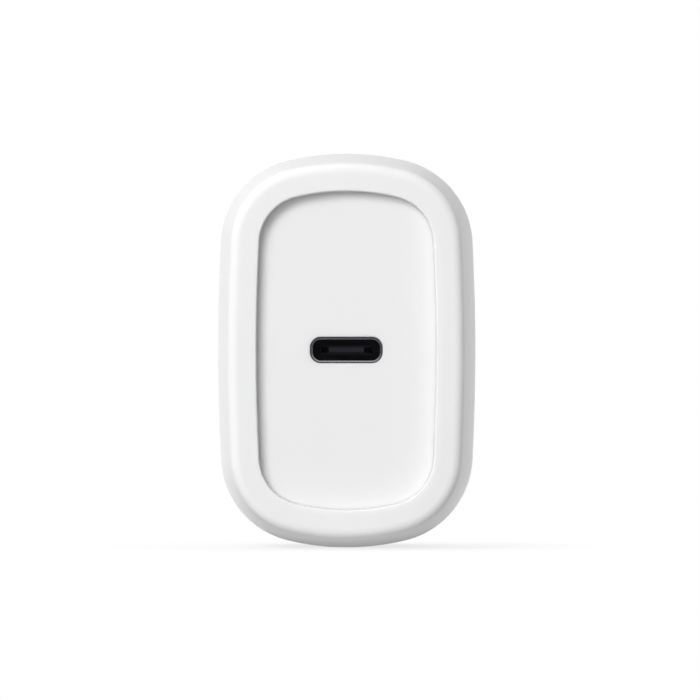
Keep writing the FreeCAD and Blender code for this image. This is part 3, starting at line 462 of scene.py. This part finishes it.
def brushed_nickel(finish):
    brush = mottle(finish, 5200.0, (1, 1, 0.02), 3.0)
    rubs = mottle(finish, 900.0, (1, 1, 0.05), 2.0)
    worn = ((rubs - 0.56) / 0.08).limited()
    duller = toned(NICKEL_COLOUR, 0.85)
    bright = blend(finish, brush, duller, NICKEL_COLOUR)
    return surface_of(
        finish,
        {
            "Base Color": blend(finish, 0.5 * worn, bright, (0.66, 0.63, 0.57)),
            "Metallic": 1.0,
            "Roughness": 0.22 + 0.14 * brush + 0.08 * worn,
            "Normal": relief(finish, brush, 0.004 * MM),
        },
    )


dress(finished("brushed_nickel", brushed_nickel), "blade_left", "blade_right")

# The retainer: a black glass-filled nylon plate that closes the plug's pivots from inside.
# Its two pan-head screws are zinc plated steel.
RETAINER_COLOUR = (0.016, 0.016, 0.017)
ZINC_COLOUR = (0.62, 0.64, 0.66)


def black_moulding(finish, colour, least_roughness):
    fibres = mottle(finish, 5200.0, (1, 0.25, 1), 3.0)
    lighter = toned(colour, 1.6)
    return surface_of(
        finish,
        {
            "Base Color": blend(finish, fibres, colour, lighter),
            "Roughness": least_roughness + 0.15 * fibres,
            "Normal": relief(finish, fibres, 0.003 * MM),
        },
    )


dress(finished("black_nylon", black_moulding, RETAINER_COLOUR, 0.5), "plug_retainer")


def zinc_plate(finish):
    frost = mottle(finish, 2400.0, detail=3.0)
    tool_marks = mottle(finish, 5000.0, (0.15, 1, 0.15))
    return surface_of(
        finish,
        {
            "Base Color": blend(finish, frost, (0.5, 0.52, 0.56), ZINC_COLOUR),
            "Metallic": 1.0,
            "Roughness": 0.26 + 0.2 * frost,
            "Normal": relief(finish, tool_marks, 0.004 * MM),
        },
    )


dress(finished("zinc_plate", zinc_plate), "retainer_screws")

# The springs: rolled phosphor bronze leaves. The outer two carry the mains from the blades' tails,
# and the middle one presses on the hub and holds the plug folded or open.
BRONZE_COLOUR = (0.72, 0.5, 0.3)


def rolled_bronze(finish):
    rolled = mottle(finish, 3600.0, (1, 1, 0.04), 3.0)
    stain = mottle(finish, 420.0, detail=3.0)
    clean = blend(finish, rolled, (0.62, 0.41, 0.23), BRONZE_COLOUR)
    return surface_of(
        finish,
        {
            "Base Color": blend(finish, 0.4 * stain, clean, (0.45, 0.25, 0.15)),
            "Metallic": 1.0,
            "Roughness": 0.24 + 0.2 * stain,
            "Normal": relief(finish, rolled, 0.003 * MM),
        },
    )


dress(
    finished("rolled_bronze", rolled_bronze), "contact_spring_left", "contact_spring_right", "detent_spring"
)

# The mains wires: stranded copper in soft vinyl, one black and one white, from the two outer springs.
# Each is bared and tinned where it goes through the main board.
board_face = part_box("main_board")[1].x
TINNED = (0.7, 0.7, 0.68)


def vinyl_wire(finish, colour):
    place = finish.add("ShaderNodeTexCoord", {}, {}, "Object")
    bared = place.along("X") < board_face
    dust = mottle(finish, 1500.0, detail=3.0)
    rubbed = tuple(min(1, 0.02 + 1.15 * part) for part in colour)
    return surface_of(
        finish,
        {
            "Base Color": blend(finish, bared, blend(finish, dust, colour, rubbed), TINNED),
            "Metallic": bared,
            "Roughness": 0.38 + 0.18 * dust,
            "Normal": relief(finish, dust, 0.01 * MM),
        },
    )


dress(finished("black_vinyl", vinyl_wire, (0.015, 0.015, 0.016)), "ac_lead_left")
dress(finished("white_vinyl", vinyl_wire, (0.8, 0.8, 0.78)), "ac_lead_right")

# The boards: glass-fibre laminate with copper tracks under green lacquer, and bare sawn edges.
# The main board stands along one side of the case, and the port's board is soldered square to it.
LACQUER = (0.015, 0.16, 0.07)
LACQUER_ON_COPPER = (0.03, 0.28, 0.12)
LAMINATE = (0.46, 0.4, 0.22)
TRACK_PITCH = 1.1 * MM
TRACK_SHARE = 0.62


def lacquered_board(finish, across, along, through):
    """Tracks side by side that cross over in patches, under lacquer on the faces but not on the edges."""
    place = finish.add("ShaderNodeTexCoord", {}, {}, "Object")
    facing = finish.add("ShaderNodeNewGeometry", {}, {}, "Normal").along(through)
    sawn = abs(facing) < 0.6
    jog = finish.add(
        "ShaderNodeTexVoronoi", {"distance": "CHEBYCHEV"}, {"Vector": place, "Scale": 210.0}, "Distance"
    )
    lane = place.along(across) / TRACK_PITCH + (4 * jog).math("SNAP", 4 * jog, 1.0)
    on_track = lane.math("FRACT", lane) < TRACK_SHARE
    bend_line = place.along(along) / TRACK_PITCH
    broken = mottle(finish, 160.0) < 0.47
    crossing = (bend_line.math("FRACT", bend_line) < TRACK_SHARE) * broken
    copper_below = (on_track * (1 - broken) + crossing).limited()
    weave = mottle(finish, 4200.0, detail=3.0)
    lacquer = blend(finish, copper_below, LACQUER, LACQUER_ON_COPPER)
    edge = blend(finish, weave, toned(LAMINATE, 0.75), LAMINATE)
    return surface_of(
        finish,
        {
            "Base Color": blend(finish, sawn, lacquer, edge),
            "Roughness": 0.24 + 0.45 * sawn + 0.08 * weave,
            "Normal": relief(finish, copper_below + 0.3 * weave, 0.035 * MM, 0.5),
        },
    )


dress(finished("main_board_lacquer", lacquered_board, "Y", "Z", "X"), "main_board")
dress(finished("port_board_lacquer", lacquered_board, "X", "Y", "Z"), "port_board")

# The ferrite: pressed and fired iron oxide, dark grey, matt and finely speckled.
# The transformer's two halves meet at ground faces, and the choke's ring is tumbled smooth.
FERRITE_COLOUR = (0.045, 0.043, 0.045)


def fired_ferrite(finish):
    speckle = mottle(finish, 6500.0, detail=4.0)
    chips = ((mottle(finish, 1300.0, detail=4.0) - 0.62) / 0.06).limited()
    paler = toned(FERRITE_COLOUR, 1.9)
    body = blend(finish, speckle, FERRITE_COLOUR, paler)
    return surface_of(
        finish,
        {
            "Base Color": blend(finish, 0.5 * chips, body, (0.14, 0.13, 0.13)),
            "Roughness": 0.5 + 0.2 * speckle,
            "Normal": relief(finish, speckle - 0.5 * chips, 0.02 * MM, 0.3),
        },
    )


dress(
    finished("fired_ferrite", fired_ferrite), "transformer_core_lower", "transformer_core_upper", "choke_core"
)

# The transformer's spool and the choke's seat: black phenolic mouldings with pins pressed into them.
# The pins are tinned wire, and so are the choke's tails.
dress(
    finished("black_phenolic", black_moulding, (0.02, 0.019, 0.018), 0.44), "transformer_bobbin", "choke_base"
)


def tinned_wire(finish):
    dull = mottle(finish, 2600.0, detail=3.0)
    return surface_of(
        finish,
        {
            "Base Color": blend(finish, dull, (0.55, 0.55, 0.54), TINNED),
            "Metallic": 1.0,
            "Roughness": 0.22 + 0.25 * dull,
            "Normal": relief(finish, dull, 0.01 * MM),
        },
    )


tinned = finished("tinned_wire", tinned_wire)
dress(tinned, "transformer_pins", "choke_leads")

# The transformer's windings: enamelled copper wire laid turn by turn about the middle leg.
# Yellow polyester tape is wrapped over them, with its edges and its last lap showing.
ENAMEL_LIGHT = (0.62, 0.24, 0.09)
ENAMEL_DARK = (0.4, 0.13, 0.05)
TURN_PITCH = 0.32 * MM
TAPE_COLOUR = (0.8, 0.55, 0.03)
TAPE_LAP = 2.2 * MM
LAP_EDGE = 0.05


def laid_turns(finish):
    place = finish.add("ShaderNodeTexCoord", {}, {}, "Object")
    turn = place.along("X") / TURN_PITCH
    # Painted shade: crown rises toward the gaps between turns, and the enamel's colour darkens there.
    crown = abs(turn.math("FRACT", turn) - 0.5) * 2
    tone = mottle(finish, 700.0, (3, 1, 1), 3.0)
    return surface_of(
        finish,
        {
            "Base Color": blend(finish, tone - 0.4 * crown, ENAMEL_DARK, ENAMEL_LIGHT),
            "Metallic": 0.75,
            "Roughness": 0.22 + 0.12 * tone,
            "Normal": relief(finish, 1 - crown * crown, 0.12 * MM, 0.9),
        },
    )


def wrapped_tape(finish):
    place = finish.add("ShaderNodeTexCoord", {}, {}, "Object")
    lap = place.along("X") / TAPE_LAP
    edge = lap.math("FRACT", lap) < LAP_EDGE
    film = mottle(finish, 600.0, (0.4, 2, 2), 3.0)
    paler = toned(TAPE_COLOUR, 1.12)
    body = blend(finish, film, TAPE_COLOUR, paler)
    return surface_of(
        finish,
        {
            "Base Color": blend(finish, 0.6 * edge, body, (0.45, 0.28, 0.02)),
            "Roughness": 0.22 + 0.12 * film,
            "Normal": relief(finish, film - edge, 0.05 * MM, 0.4),
        },
    )


dress(finished("laid_turns", laid_turns), "primary_winding", "secondary_winding")
dress(finished("wrapped_tape", wrapped_tape), "transformer_tape")

# The electrolytic capacitors: drawn aluminium cans with a pressed cross in the top that gives way first.
# The two bulk ones wear a dark shrunk sleeve with a pale stripe, the output ones a coloured half on top.
CAN_COLOUR = (0.72, 0.73, 0.74)
SLEEVE_COLOUR = (0.018, 0.022, 0.04)
STRIPE_COLOUR = (0.5, 0.52, 0.55)
HALF_COLOUR = (0.06, 0.02, 0.2)
CROSS_WIDTH = 0.28 * MM
TOP_DEPTH = 0.5 * MM
LEAD_SHOWN = 0.3 * MM
HALF_START = -0.2
STRIPE_HALF = 0.45
DASH_PITCH = 3.0 * MM
DASH_SHARE = 0.4
DASH_HALF = 0.12


def can_places(node):
    """The middles of a node's two cans, which stand side by side, their radius and their tops' place."""
    low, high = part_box(node)
    long_side_is_y = high.y - low.y > high.z - low.z
    radius = min(high.y - low.y, high.z - low.z) / 2
    if long_side_is_y:
        return [(low.y + radius, low.z + radius), (high.y - radius, low.z + radius)], radius, high.x
    return [(low.y + radius, low.z + radius), (low.y + radius, high.z - radius)], radius, high.x


def from_cans(finish, node):
    """Distances across and up from the nearer of two cans' middles, and the height of their tops."""
    centres, radius, top = can_places(node)
    place = finish.add("ShaderNodeTexCoord", {}, {}, "Object")
    y, z = place.along("Y"), place.along("Z")
    (y_first, z_first), (y_last, z_last) = centres
    if y_first == y_last:
        is_last = z > (z_first + z_last) / 2
    else:
        is_last = y > (y_first + y_last) / 2
    across = y - (y_first + (y_last - y_first) * is_last)
    up = z - (z_first + (z_last - z_first) * is_last)
    return place.along("X"), across, up, radius, top


def drawn_can(finish, node, top_colour):
    """Bare drawn aluminium, with half of the pressed top painted where it has a colour."""
    x, across, up, radius, top = from_cans(finish, node)
    on_lead = x < board_face + LEAD_SHOWN
    on_top = x > top - TOP_DEPTH
    cross = ((abs(across) < CROSS_WIDTH / 2) + (abs(up) < CROSS_WIDTH / 2)).limited() * on_top
    printed = on_top * (up < HALF_START * radius)
    drawn = mottle(finish, 2400.0, (0.08, 1, 1), 3.0)
    bare = blend(finish, drawn, toned(CAN_COLOUR, 0.82), CAN_COLOUR)
    painted = 0.0
    # Painted shade: the pressed cross is coloured a darker grey than the bare can, in its grooves.
    colour = blend(finish, 0.6 * cross, bare, (0.3, 0.3, 0.31))
    if top_colour:
        painted = printed * (1 - cross)
        colour = blend(finish, painted, colour, top_colour)
    colour = blend(finish, on_lead, colour, TINNED)
    return surface_of(
        finish,
        {
            "Base Color": colour,
            "Metallic": 1 - painted,
            "Roughness": 0.24 + 0.14 * drawn,
            "Normal": relief(finish, drawn - 4 * cross, 0.03 * MM, 0.35),
        },
    )


def shrunk_sleeve(finish, node):
    x, across, up, radius, top = from_cans(finish, node)
    stripe = (abs(across) < STRIPE_HALF * radius) * (up > 0)
    film = mottle(finish, 500.0, (0.5, 1, 1), 3.0)
    dash = x / DASH_PITCH
    mark = (dash.math("FRACT", dash) < DASH_SHARE) * (abs(across) < DASH_HALF * radius)
    body = blend(finish, film, SLEEVE_COLOUR, toned(SLEEVE_COLOUR, 1.4))
    return surface_of(
        finish,
        {
            "Base Color": blend(finish, stripe * (1 - mark), body, STRIPE_COLOUR),
            "Roughness": 0.2 + 0.12 * film,
            "Normal": relief(finish, film, 0.04 * MM, 0.3),
        },
    )


dress(finished("bulk_can", drawn_can, "bulk_capacitor_cans", None), "bulk_capacitor_cans")
dress(finished("output_can", drawn_can, "output_capacitors", HALF_COLOUR), "output_capacitors")
dress(finished("shrunk_sleeve", shrunk_sleeve, "bulk_capacitor_sleeves"), "bulk_capacitor_sleeves")

# The moulded and dipped parts that stand on the main board: film capacitor, fuse, thermistor, disc capacitor.
# Each body is coated resin with tinned leads below it, and the leads go through the board.
DIPPED_PARTS = {
    "x_capacitor": ((0.3, 0.31, 0.32), 0.42, LEAD_SHOWN),
    "fuse": ((0.1, 0.05, 0.03), 0.34, LEAD_SHOWN),
    "inrush_thermistor": ((0.03, 0.11, 0.05), 0.3, 0.8 * MM),
    "y_capacitor": ((0.02, 0.12, 0.42), 0.26, 0.8 * MM),
}


def coated_resin(finish, colour, least_roughness, lead_shown):
    place = finish.add("ShaderNodeTexCoord", {}, {}, "Object")
    on_lead = place.along("X") < board_face + lead_shown
    ripple = mottle(finish, 420.0, detail=2.0)
    speck = mottle(finish, 3400.0, detail=3.0)
    paler = toned(colour, 1.35)
    return surface_of(
        finish,
        {
            "Base Color": blend(finish, on_lead, blend(finish, speck, colour, paler), TINNED),
            "Metallic": on_lead,
            "Roughness": least_roughness + 0.12 * speck,
            "Normal": relief(finish, ripple + 0.15 * speck, 0.08 * MM, 0.35),
        },
    )


for node, (colour, least_roughness, lead_shown) in DIPPED_PARTS.items():
    dress(finished(node + "_resin", coated_resin, colour, least_roughness, lead_shown), node)

# The small chip parts on the solder side: ceramic bricks with a tinned cap at each end, in three columns.
# They are stuck down and flow soldered.
chip_low, chip_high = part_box("chip_parts")
CHIP_LENGTH = 2.0 * MM
CHIP_PITCH = (chip_high.y - chip_low.y - CHIP_LENGTH) / 2
CAP_LENGTH = 0.4 * MM


def ceramic_chip(finish):
    place = finish.add("ShaderNodeTexCoord", {}, {}, "Object")
    column = (place.along("Y") - (chip_low.y + CHIP_LENGTH / 2)) / CHIP_PITCH + 0.5
    from_middle = abs(column.math("FRACT", column) - 0.5) * CHIP_PITCH
    on_cap = from_middle > CHIP_LENGTH / 2 - CAP_LENGTH
    grain = mottle(finish, 5200.0, detail=3.0)
    body = blend(finish, grain, (0.3, 0.2, 0.11), (0.42, 0.3, 0.18))
    return surface_of(
        finish,
        {
            "Base Color": blend(finish, on_cap, body, TINNED),
            "Metallic": on_cap,
            "Roughness": 0.3 + 0.2 * grain,
            "Normal": relief(finish, grain + on_cap, 0.02 * MM, 0.3),
        },
    )


dress(finished("ceramic_chip", ceramic_chip), "chip_parts")

# The heat path on the solder side: a soft grey silicone pad on the power switch and an aluminium spreader.
# A clear polypropylene film keeps both away from the case.
PAD_COLOUR = (0.3, 0.31, 0.33)
SPREADER_COLOUR = (0.74, 0.75, 0.76)


def silicone_pad(finish):
    filler = mottle(finish, 3800.0, detail=4.0)
    dimple = finish.add("ShaderNodeTexVoronoi", {}, {"Scale": 1500.0}, "Distance")
    return surface_of(
        finish,
        {
            "Base Color": blend(finish, filler, toned(PAD_COLOUR, 0.8), PAD_COLOUR),
            "Roughness": 0.62 + 0.2 * filler,
            "Normal": relief(finish, dimple, 0.05 * MM, 0.3),
        },
    )


def rolled_aluminium(finish):
    rolled = mottle(finish, 3000.0, (1, 1, 0.03), 3.0)
    darker = toned(SPREADER_COLOUR, 0.84)
    return surface_of(
        finish,
        {
            "Base Color": blend(finish, rolled, darker, SPREADER_COLOUR),
            "Metallic": 1.0,
            "Roughness": 0.28 + 0.14 * rolled,
            "Normal": relief(finish, rolled, 0.006 * MM),
        },
    )


def clear_film(finish):
    haze = mottle(finish, 900.0, detail=3.0)
    return surface_of(
        finish,
        {
            "Base Color": (0.8, 0.82, 0.82),
            "Roughness": 0.12 + 0.16 * haze,
            "Alpha": 0.3 + 0.15 * haze,
            "Normal": relief(finish, haze, 0.03 * MM),
        },
    )


dress(finished("silicone_pad", silicone_pad), "thermal_pad")
dress(finished("rolled_aluminium", rolled_aluminium), "heat_spreader")
dress(finished("clear_film", clear_film), "insulating_film")

# The choke's two windings: thick enamelled wire, wound by hand round the ring, six turns on each half.
# The first end of each drops straight to its tail in the seat.
CHOKE_BORE = 6.4 * MM
CHOKE_WIRE = 0.84 * MM
CHOKE_TURNS = 6
CHOKE_SPREAD = math.radians(112)
POINTS_IN_TURN = 12
core_low, core_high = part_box("choke_core")
core_middle = (core_low + core_high) / 2
core_radius = (core_high.z - core_low.z) / 2


def squared(value):
    """A sine or cosine pushed outwards, so that a turn hugs the ring's square section."""
    return math.copysign(math.sqrt(abs(value)), value)


def enamelled_wire(finish):
    tone = mottle(finish, 800.0, detail=3.0)
    return surface_of(
        finish,
        {
            "Base Color": blend(finish, tone, ENAMEL_DARK, ENAMEL_LIGHT),
            "Metallic": 0.75,
            "Roughness": 0.16 + 0.16 * tone,
            "Normal": relief(finish, tone, 0.02 * MM),
        },
    )


enamel = finished("enamelled_wire", enamelled_wire)


def wound_half(name, side, node):
    """One wire round half of the ring, the upper half for a side of 1 and the lower for -1."""
    middle_radius = (core_radius + CHOKE_BORE / 2) / 2
    reach = (core_radius - CHOKE_BORE / 2) / 2 + CHOKE_WIRE / 2
    half_width = (core_high.y - core_low.y) / 2 + CHOKE_WIRE / 2
    route = []
    for step in range(CHOKE_TURNS * POINTS_IN_TURN + 1):
        share = step / (CHOKE_TURNS * POINTS_IN_TURN)
        round_ring = (share - 0.5) * CHOKE_SPREAD
        round_core = math.tau * share * CHOKE_TURNS
        radius = middle_radius + reach * squared(math.cos(round_core))
        aside = half_width * squared(math.sin(round_core))
        across = radius * math.sin(round_ring)
        up = side * radius * math.cos(round_ring)
        route.append(core_middle + Vector((across, aside, up)))
    route.insert(0, Vector((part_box("choke_base")[0].x, route[0].y, route[0].z)))
    wire = bpy.data.curves.new(name, "CURVE")
    wire.dimensions = "3D"
    wire.bevel_depth = CHOKE_WIRE / 2
    wire.bevel_resolution = 3
    wire.resolution_u = 4
    wire.use_fill_caps = True
    line = wire.splines.new("NURBS")
    line.points.add(len(route) - 1)
    for point, spot in zip(line.points, route):
        point.co = (*spot, 1)
    line.order_u = 3
    line.use_endpoint_u = True
    piece = bpy.data.objects.new(name, wire)
    bpy.context.scene.collection.objects.link(piece)
    wire.materials.append(enamel)
    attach(piece, "case")
    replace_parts(piece, node)


wound_half("choke_turns_upper", 1, "choke_winding_upper")
wound_half("choke_turns_lower", -1, "choke_winding_lower")

# The chips: black epoxy packages with a drafted body, a round mark by the first lead and tinned leads.
# Some have bent leads down to the board, and the others flat pads at the foot of their sides.
CHIP_STAND_OFF = 0.08 * MM
CHIP_DRAFT = 0.96
CHIP_EDGE = 0.05 * MM
MARK_RADIUS = 0.24 * MM
MARK_INSET = 0.7 * MM
LEAD_METAL = 0.16 * MM
PAD_OUT = 0.03 * MM
LEAD_OUT, LEAD_DOWN, LEAD_FOOT = 0.3, 0.2, 0.5
COMPOUND_COLOUR = (0.018, 0.018, 0.02)


def epoxy_compound(finish, mark):
    """Black compound with a smoother round mark at the given place."""
    place = finish.add("ShaderNodeTexCoord", {}, {}, "Object")
    reach = finish.add("ShaderNodeVectorMath", {"operation": "DISTANCE"}, {0: place, 1: mark}, "Value")
    on_mark = reach < MARK_RADIUS
    filler = mottle(finish, 5600.0, detail=4.0)
    body = blend(finish, filler, COMPOUND_COLOUR, toned(COMPOUND_COLOUR, 1.8))
    return surface_of(
        finish,
        {
            "Base Color": blend(finish, 0.7 * on_mark, body, (0.06, 0.06, 0.062)),
            "Roughness": 0.52 + 0.14 * filler - 0.25 * on_mark,
            "Normal": relief(finish, 0.3 * filler - on_mark, 0.05 * MM, 0.4),
        },
    )


def grow_strip(shape, corners, steps):
    """A strip of metal that starts as four corners and grows step by step."""
    face = shape.faces.new([shape.verts.new(corner) for corner in corners])
    for step in steps:
        grown = bmesh.ops.extrude_face_region(shape, geom=[face, *face.edges])["geom"]
        ends = [part for part in grown if isinstance(part, bmesh.types.BMVert)]
        bmesh.ops.translate(shape, verts=ends, vec=step)
        face = [part for part in grown if isinstance(part, bmesh.types.BMFace)][0]


def chip(node, out, side, count, pitch, lead_width, foot):
    """A package that stands off its board along out, with a row of leads along each of two sides.

    The leads are bent ones that reach foot beyond the package, or flat pads where foot is 0.
    """
    low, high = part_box(node)
    middle, size = (low + high) / 2, high - low
    height = abs(size.dot(out))
    row = out.cross(side)
    shape = bmesh.new()
    lifted = CHIP_STAND_OFF / 2 * out
    half_size = (size - CHIP_STAND_OFF * Vector(map(abs, out))) / 2
    block(shape, middle + lifted - half_size, middle + lifted + half_size)
    whole = list(shape.verts) + list(shape.edges) + list(shape.faces)
    bmesh.ops.bisect_plane(shape, geom=whole, plane_co=middle, plane_no=out)
    drafted = [vertex for vertex in shape.verts if abs((vertex.co - middle).dot(out)) > height / 4]
    narrow = [CHIP_DRAFT if abs(part) < 0.5 else 1.0 for part in out]
    bmesh.ops.scale(shape, verts=drafted, vec=narrow, space=Matrix.Translation(-middle))
    round_over(shape, shape.edges[:], CHIP_EDGE, 2)
    corner = middle + height / 2 * out
    corner += (abs(size.dot(side)) / 2 - MARK_INSET) * side + (abs(size.dot(row)) / 2 - MARK_INSET) * row
    compound = finished(node + "_compound", epoxy_compound, tuple(corner))
    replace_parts(piece_from(shape, node + "_package", compound), node)

    leads = bmesh.new()
    # a bent lead leaves the package at half its height, and a pad lies on the board
    rise = height / 2 - LEAD_METAL / 2 if foot else 0
    for way in (-1, 1):
        outward = way * side
        if foot:
            steps = [LEAD_OUT * foot * outward, LEAD_DOWN * foot * outward - rise * out]
            steps.append(LEAD_FOOT * foot * outward)
        else:
            steps = [PAD_OUT * outward]
        start = middle + outward * abs(size.dot(side)) / 2 * CHIP_DRAFT - (height / 2 - rise) * out
        for number in range(count):
            spot = start + (number - (count - 1) / 2) * pitch * row
            half = lead_width / 2 * row
            thick = LEAD_METAL * out
            grow_strip(leads, [spot - half, spot + half, spot + half + thick, spot - half + thick], steps)
    piece_from(leads, node + "_leads", tinned)


OUT_OF_MAIN_BOARD = Vector((-1, 0, 0))
UP, BACK, RIGHT = Vector((0, 0, 1)), Vector((0, 1, 0)), Vector((1, 0, 0))
chip("bridge_rectifier", OUT_OF_MAIN_BOARD, UP, 2, 6.9 * MM, 0.7 * MM, 0.8 * MM)
chip("control_chip", OUT_OF_MAIN_BOARD, BACK, 4, 1.1 * MM, 0.42 * MM, 0.8 * MM)
chip("optocoupler", OUT_OF_MAIN_BOARD, BACK, 2, 5.1 * MM, 0.5 * MM, 0.7 * MM)
chip("power_switch", OUT_OF_MAIN_BOARD, UP, 4, 2.0 * MM, 0.9 * MM, 0)
chip("sync_rectifier", OUT_OF_MAIN_BOARD, BACK, 4, 1.25 * MM, 0.6 * MM, 0)
chip("port_controller", UP, RIGHT, 6, 0.6 * MM, 0.28 * MM, 0)
chip("port_switch", UP, BACK, 4, 0.75 * MM, 0.36 * MM, 0)

# The solder joints: bright tin cones on the main board's solder side, one where each lead comes through.
# They are drawn up round the leads by the solder wave.
JOINT_REACH = 0.42 * MM
JOINT_RISE = 0.4 * MM
JOINT_PROFILE = [(1, 0), (0.5, 0.14), (0.16, 0.45), (0, 1)]
JOINT_SIDES = 16
LEAD_APART = 0.9 * MM
TIP_DEPTH = 0.01 * MM
LEADED_NODES = [
    "transformer_pins", "choke_leads", "bulk_capacitor_cans", "output_capacitors", "x_capacitor", "fuse",
    "inrush_thermistor", "y_capacitor", "ac_lead_left", "ac_lead_right",
]
solder_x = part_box("main_board")[0].x
joints = bmesh.new()
for node in LEADED_NODES:
    # a lead's tip is a cluster of the corners that lie furthest out of the solder side
    tip_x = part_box(node)[0].x
    leads = []
    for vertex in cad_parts[node].data.vertices:
        if vertex.co.x < tip_x + TIP_DEPTH:
            near_leads = [lead for lead in leads if (lead[0] - vertex.co).length < LEAD_APART]
            if near_leads:
                near_leads[0].append(vertex.co)
            else:
                leads.append([vertex.co])
    for lead in leads:
        spot = sum(lead, Vector()) / len(lead)
        lead_radius = max((tip - spot).length for tip in lead)
        points = [joints.verts.new((solder_x, spot.y, spot.z))]
        for share_out, share_up in JOINT_PROFILE:
            reach = lead_radius + share_out * JOINT_REACH
            points.append(joints.verts.new((solder_x - share_up * JOINT_RISE, spot.y + reach, spot.z)))
        points.append(joints.verts.new((solder_x - JOINT_RISE, spot.y, spot.z)))
        edges = [joints.edges.new(pair) for pair in zip(points, points[1:])]
        bmesh.ops.spin(
            joints, geom=points + edges, cent=spot, axis=(1, 0, 0), angle=math.tau, steps=JOINT_SIDES,
            use_merge=True
        )
bmesh.ops.remove_doubles(joints, verts=joints.verts, dist=SAME_PLACE)


def bright_solder(finish):
    frost = mottle(finish, 2200.0, detail=3.0)
    return surface_of(
        finish,
        {
            "Base Color": blend(finish, frost, (0.6, 0.6, 0.6), (0.82, 0.82, 0.81)),
            "Metallic": 1.0,
            "Roughness": 0.16 + 0.2 * frost,
            "Normal": relief(finish, frost, 0.02 * MM),
        },
    )


joint_piece = piece_from(joints, "solder_joints", finished("bright_solder", bright_solder))
joint_piece.data.shade_smooth()
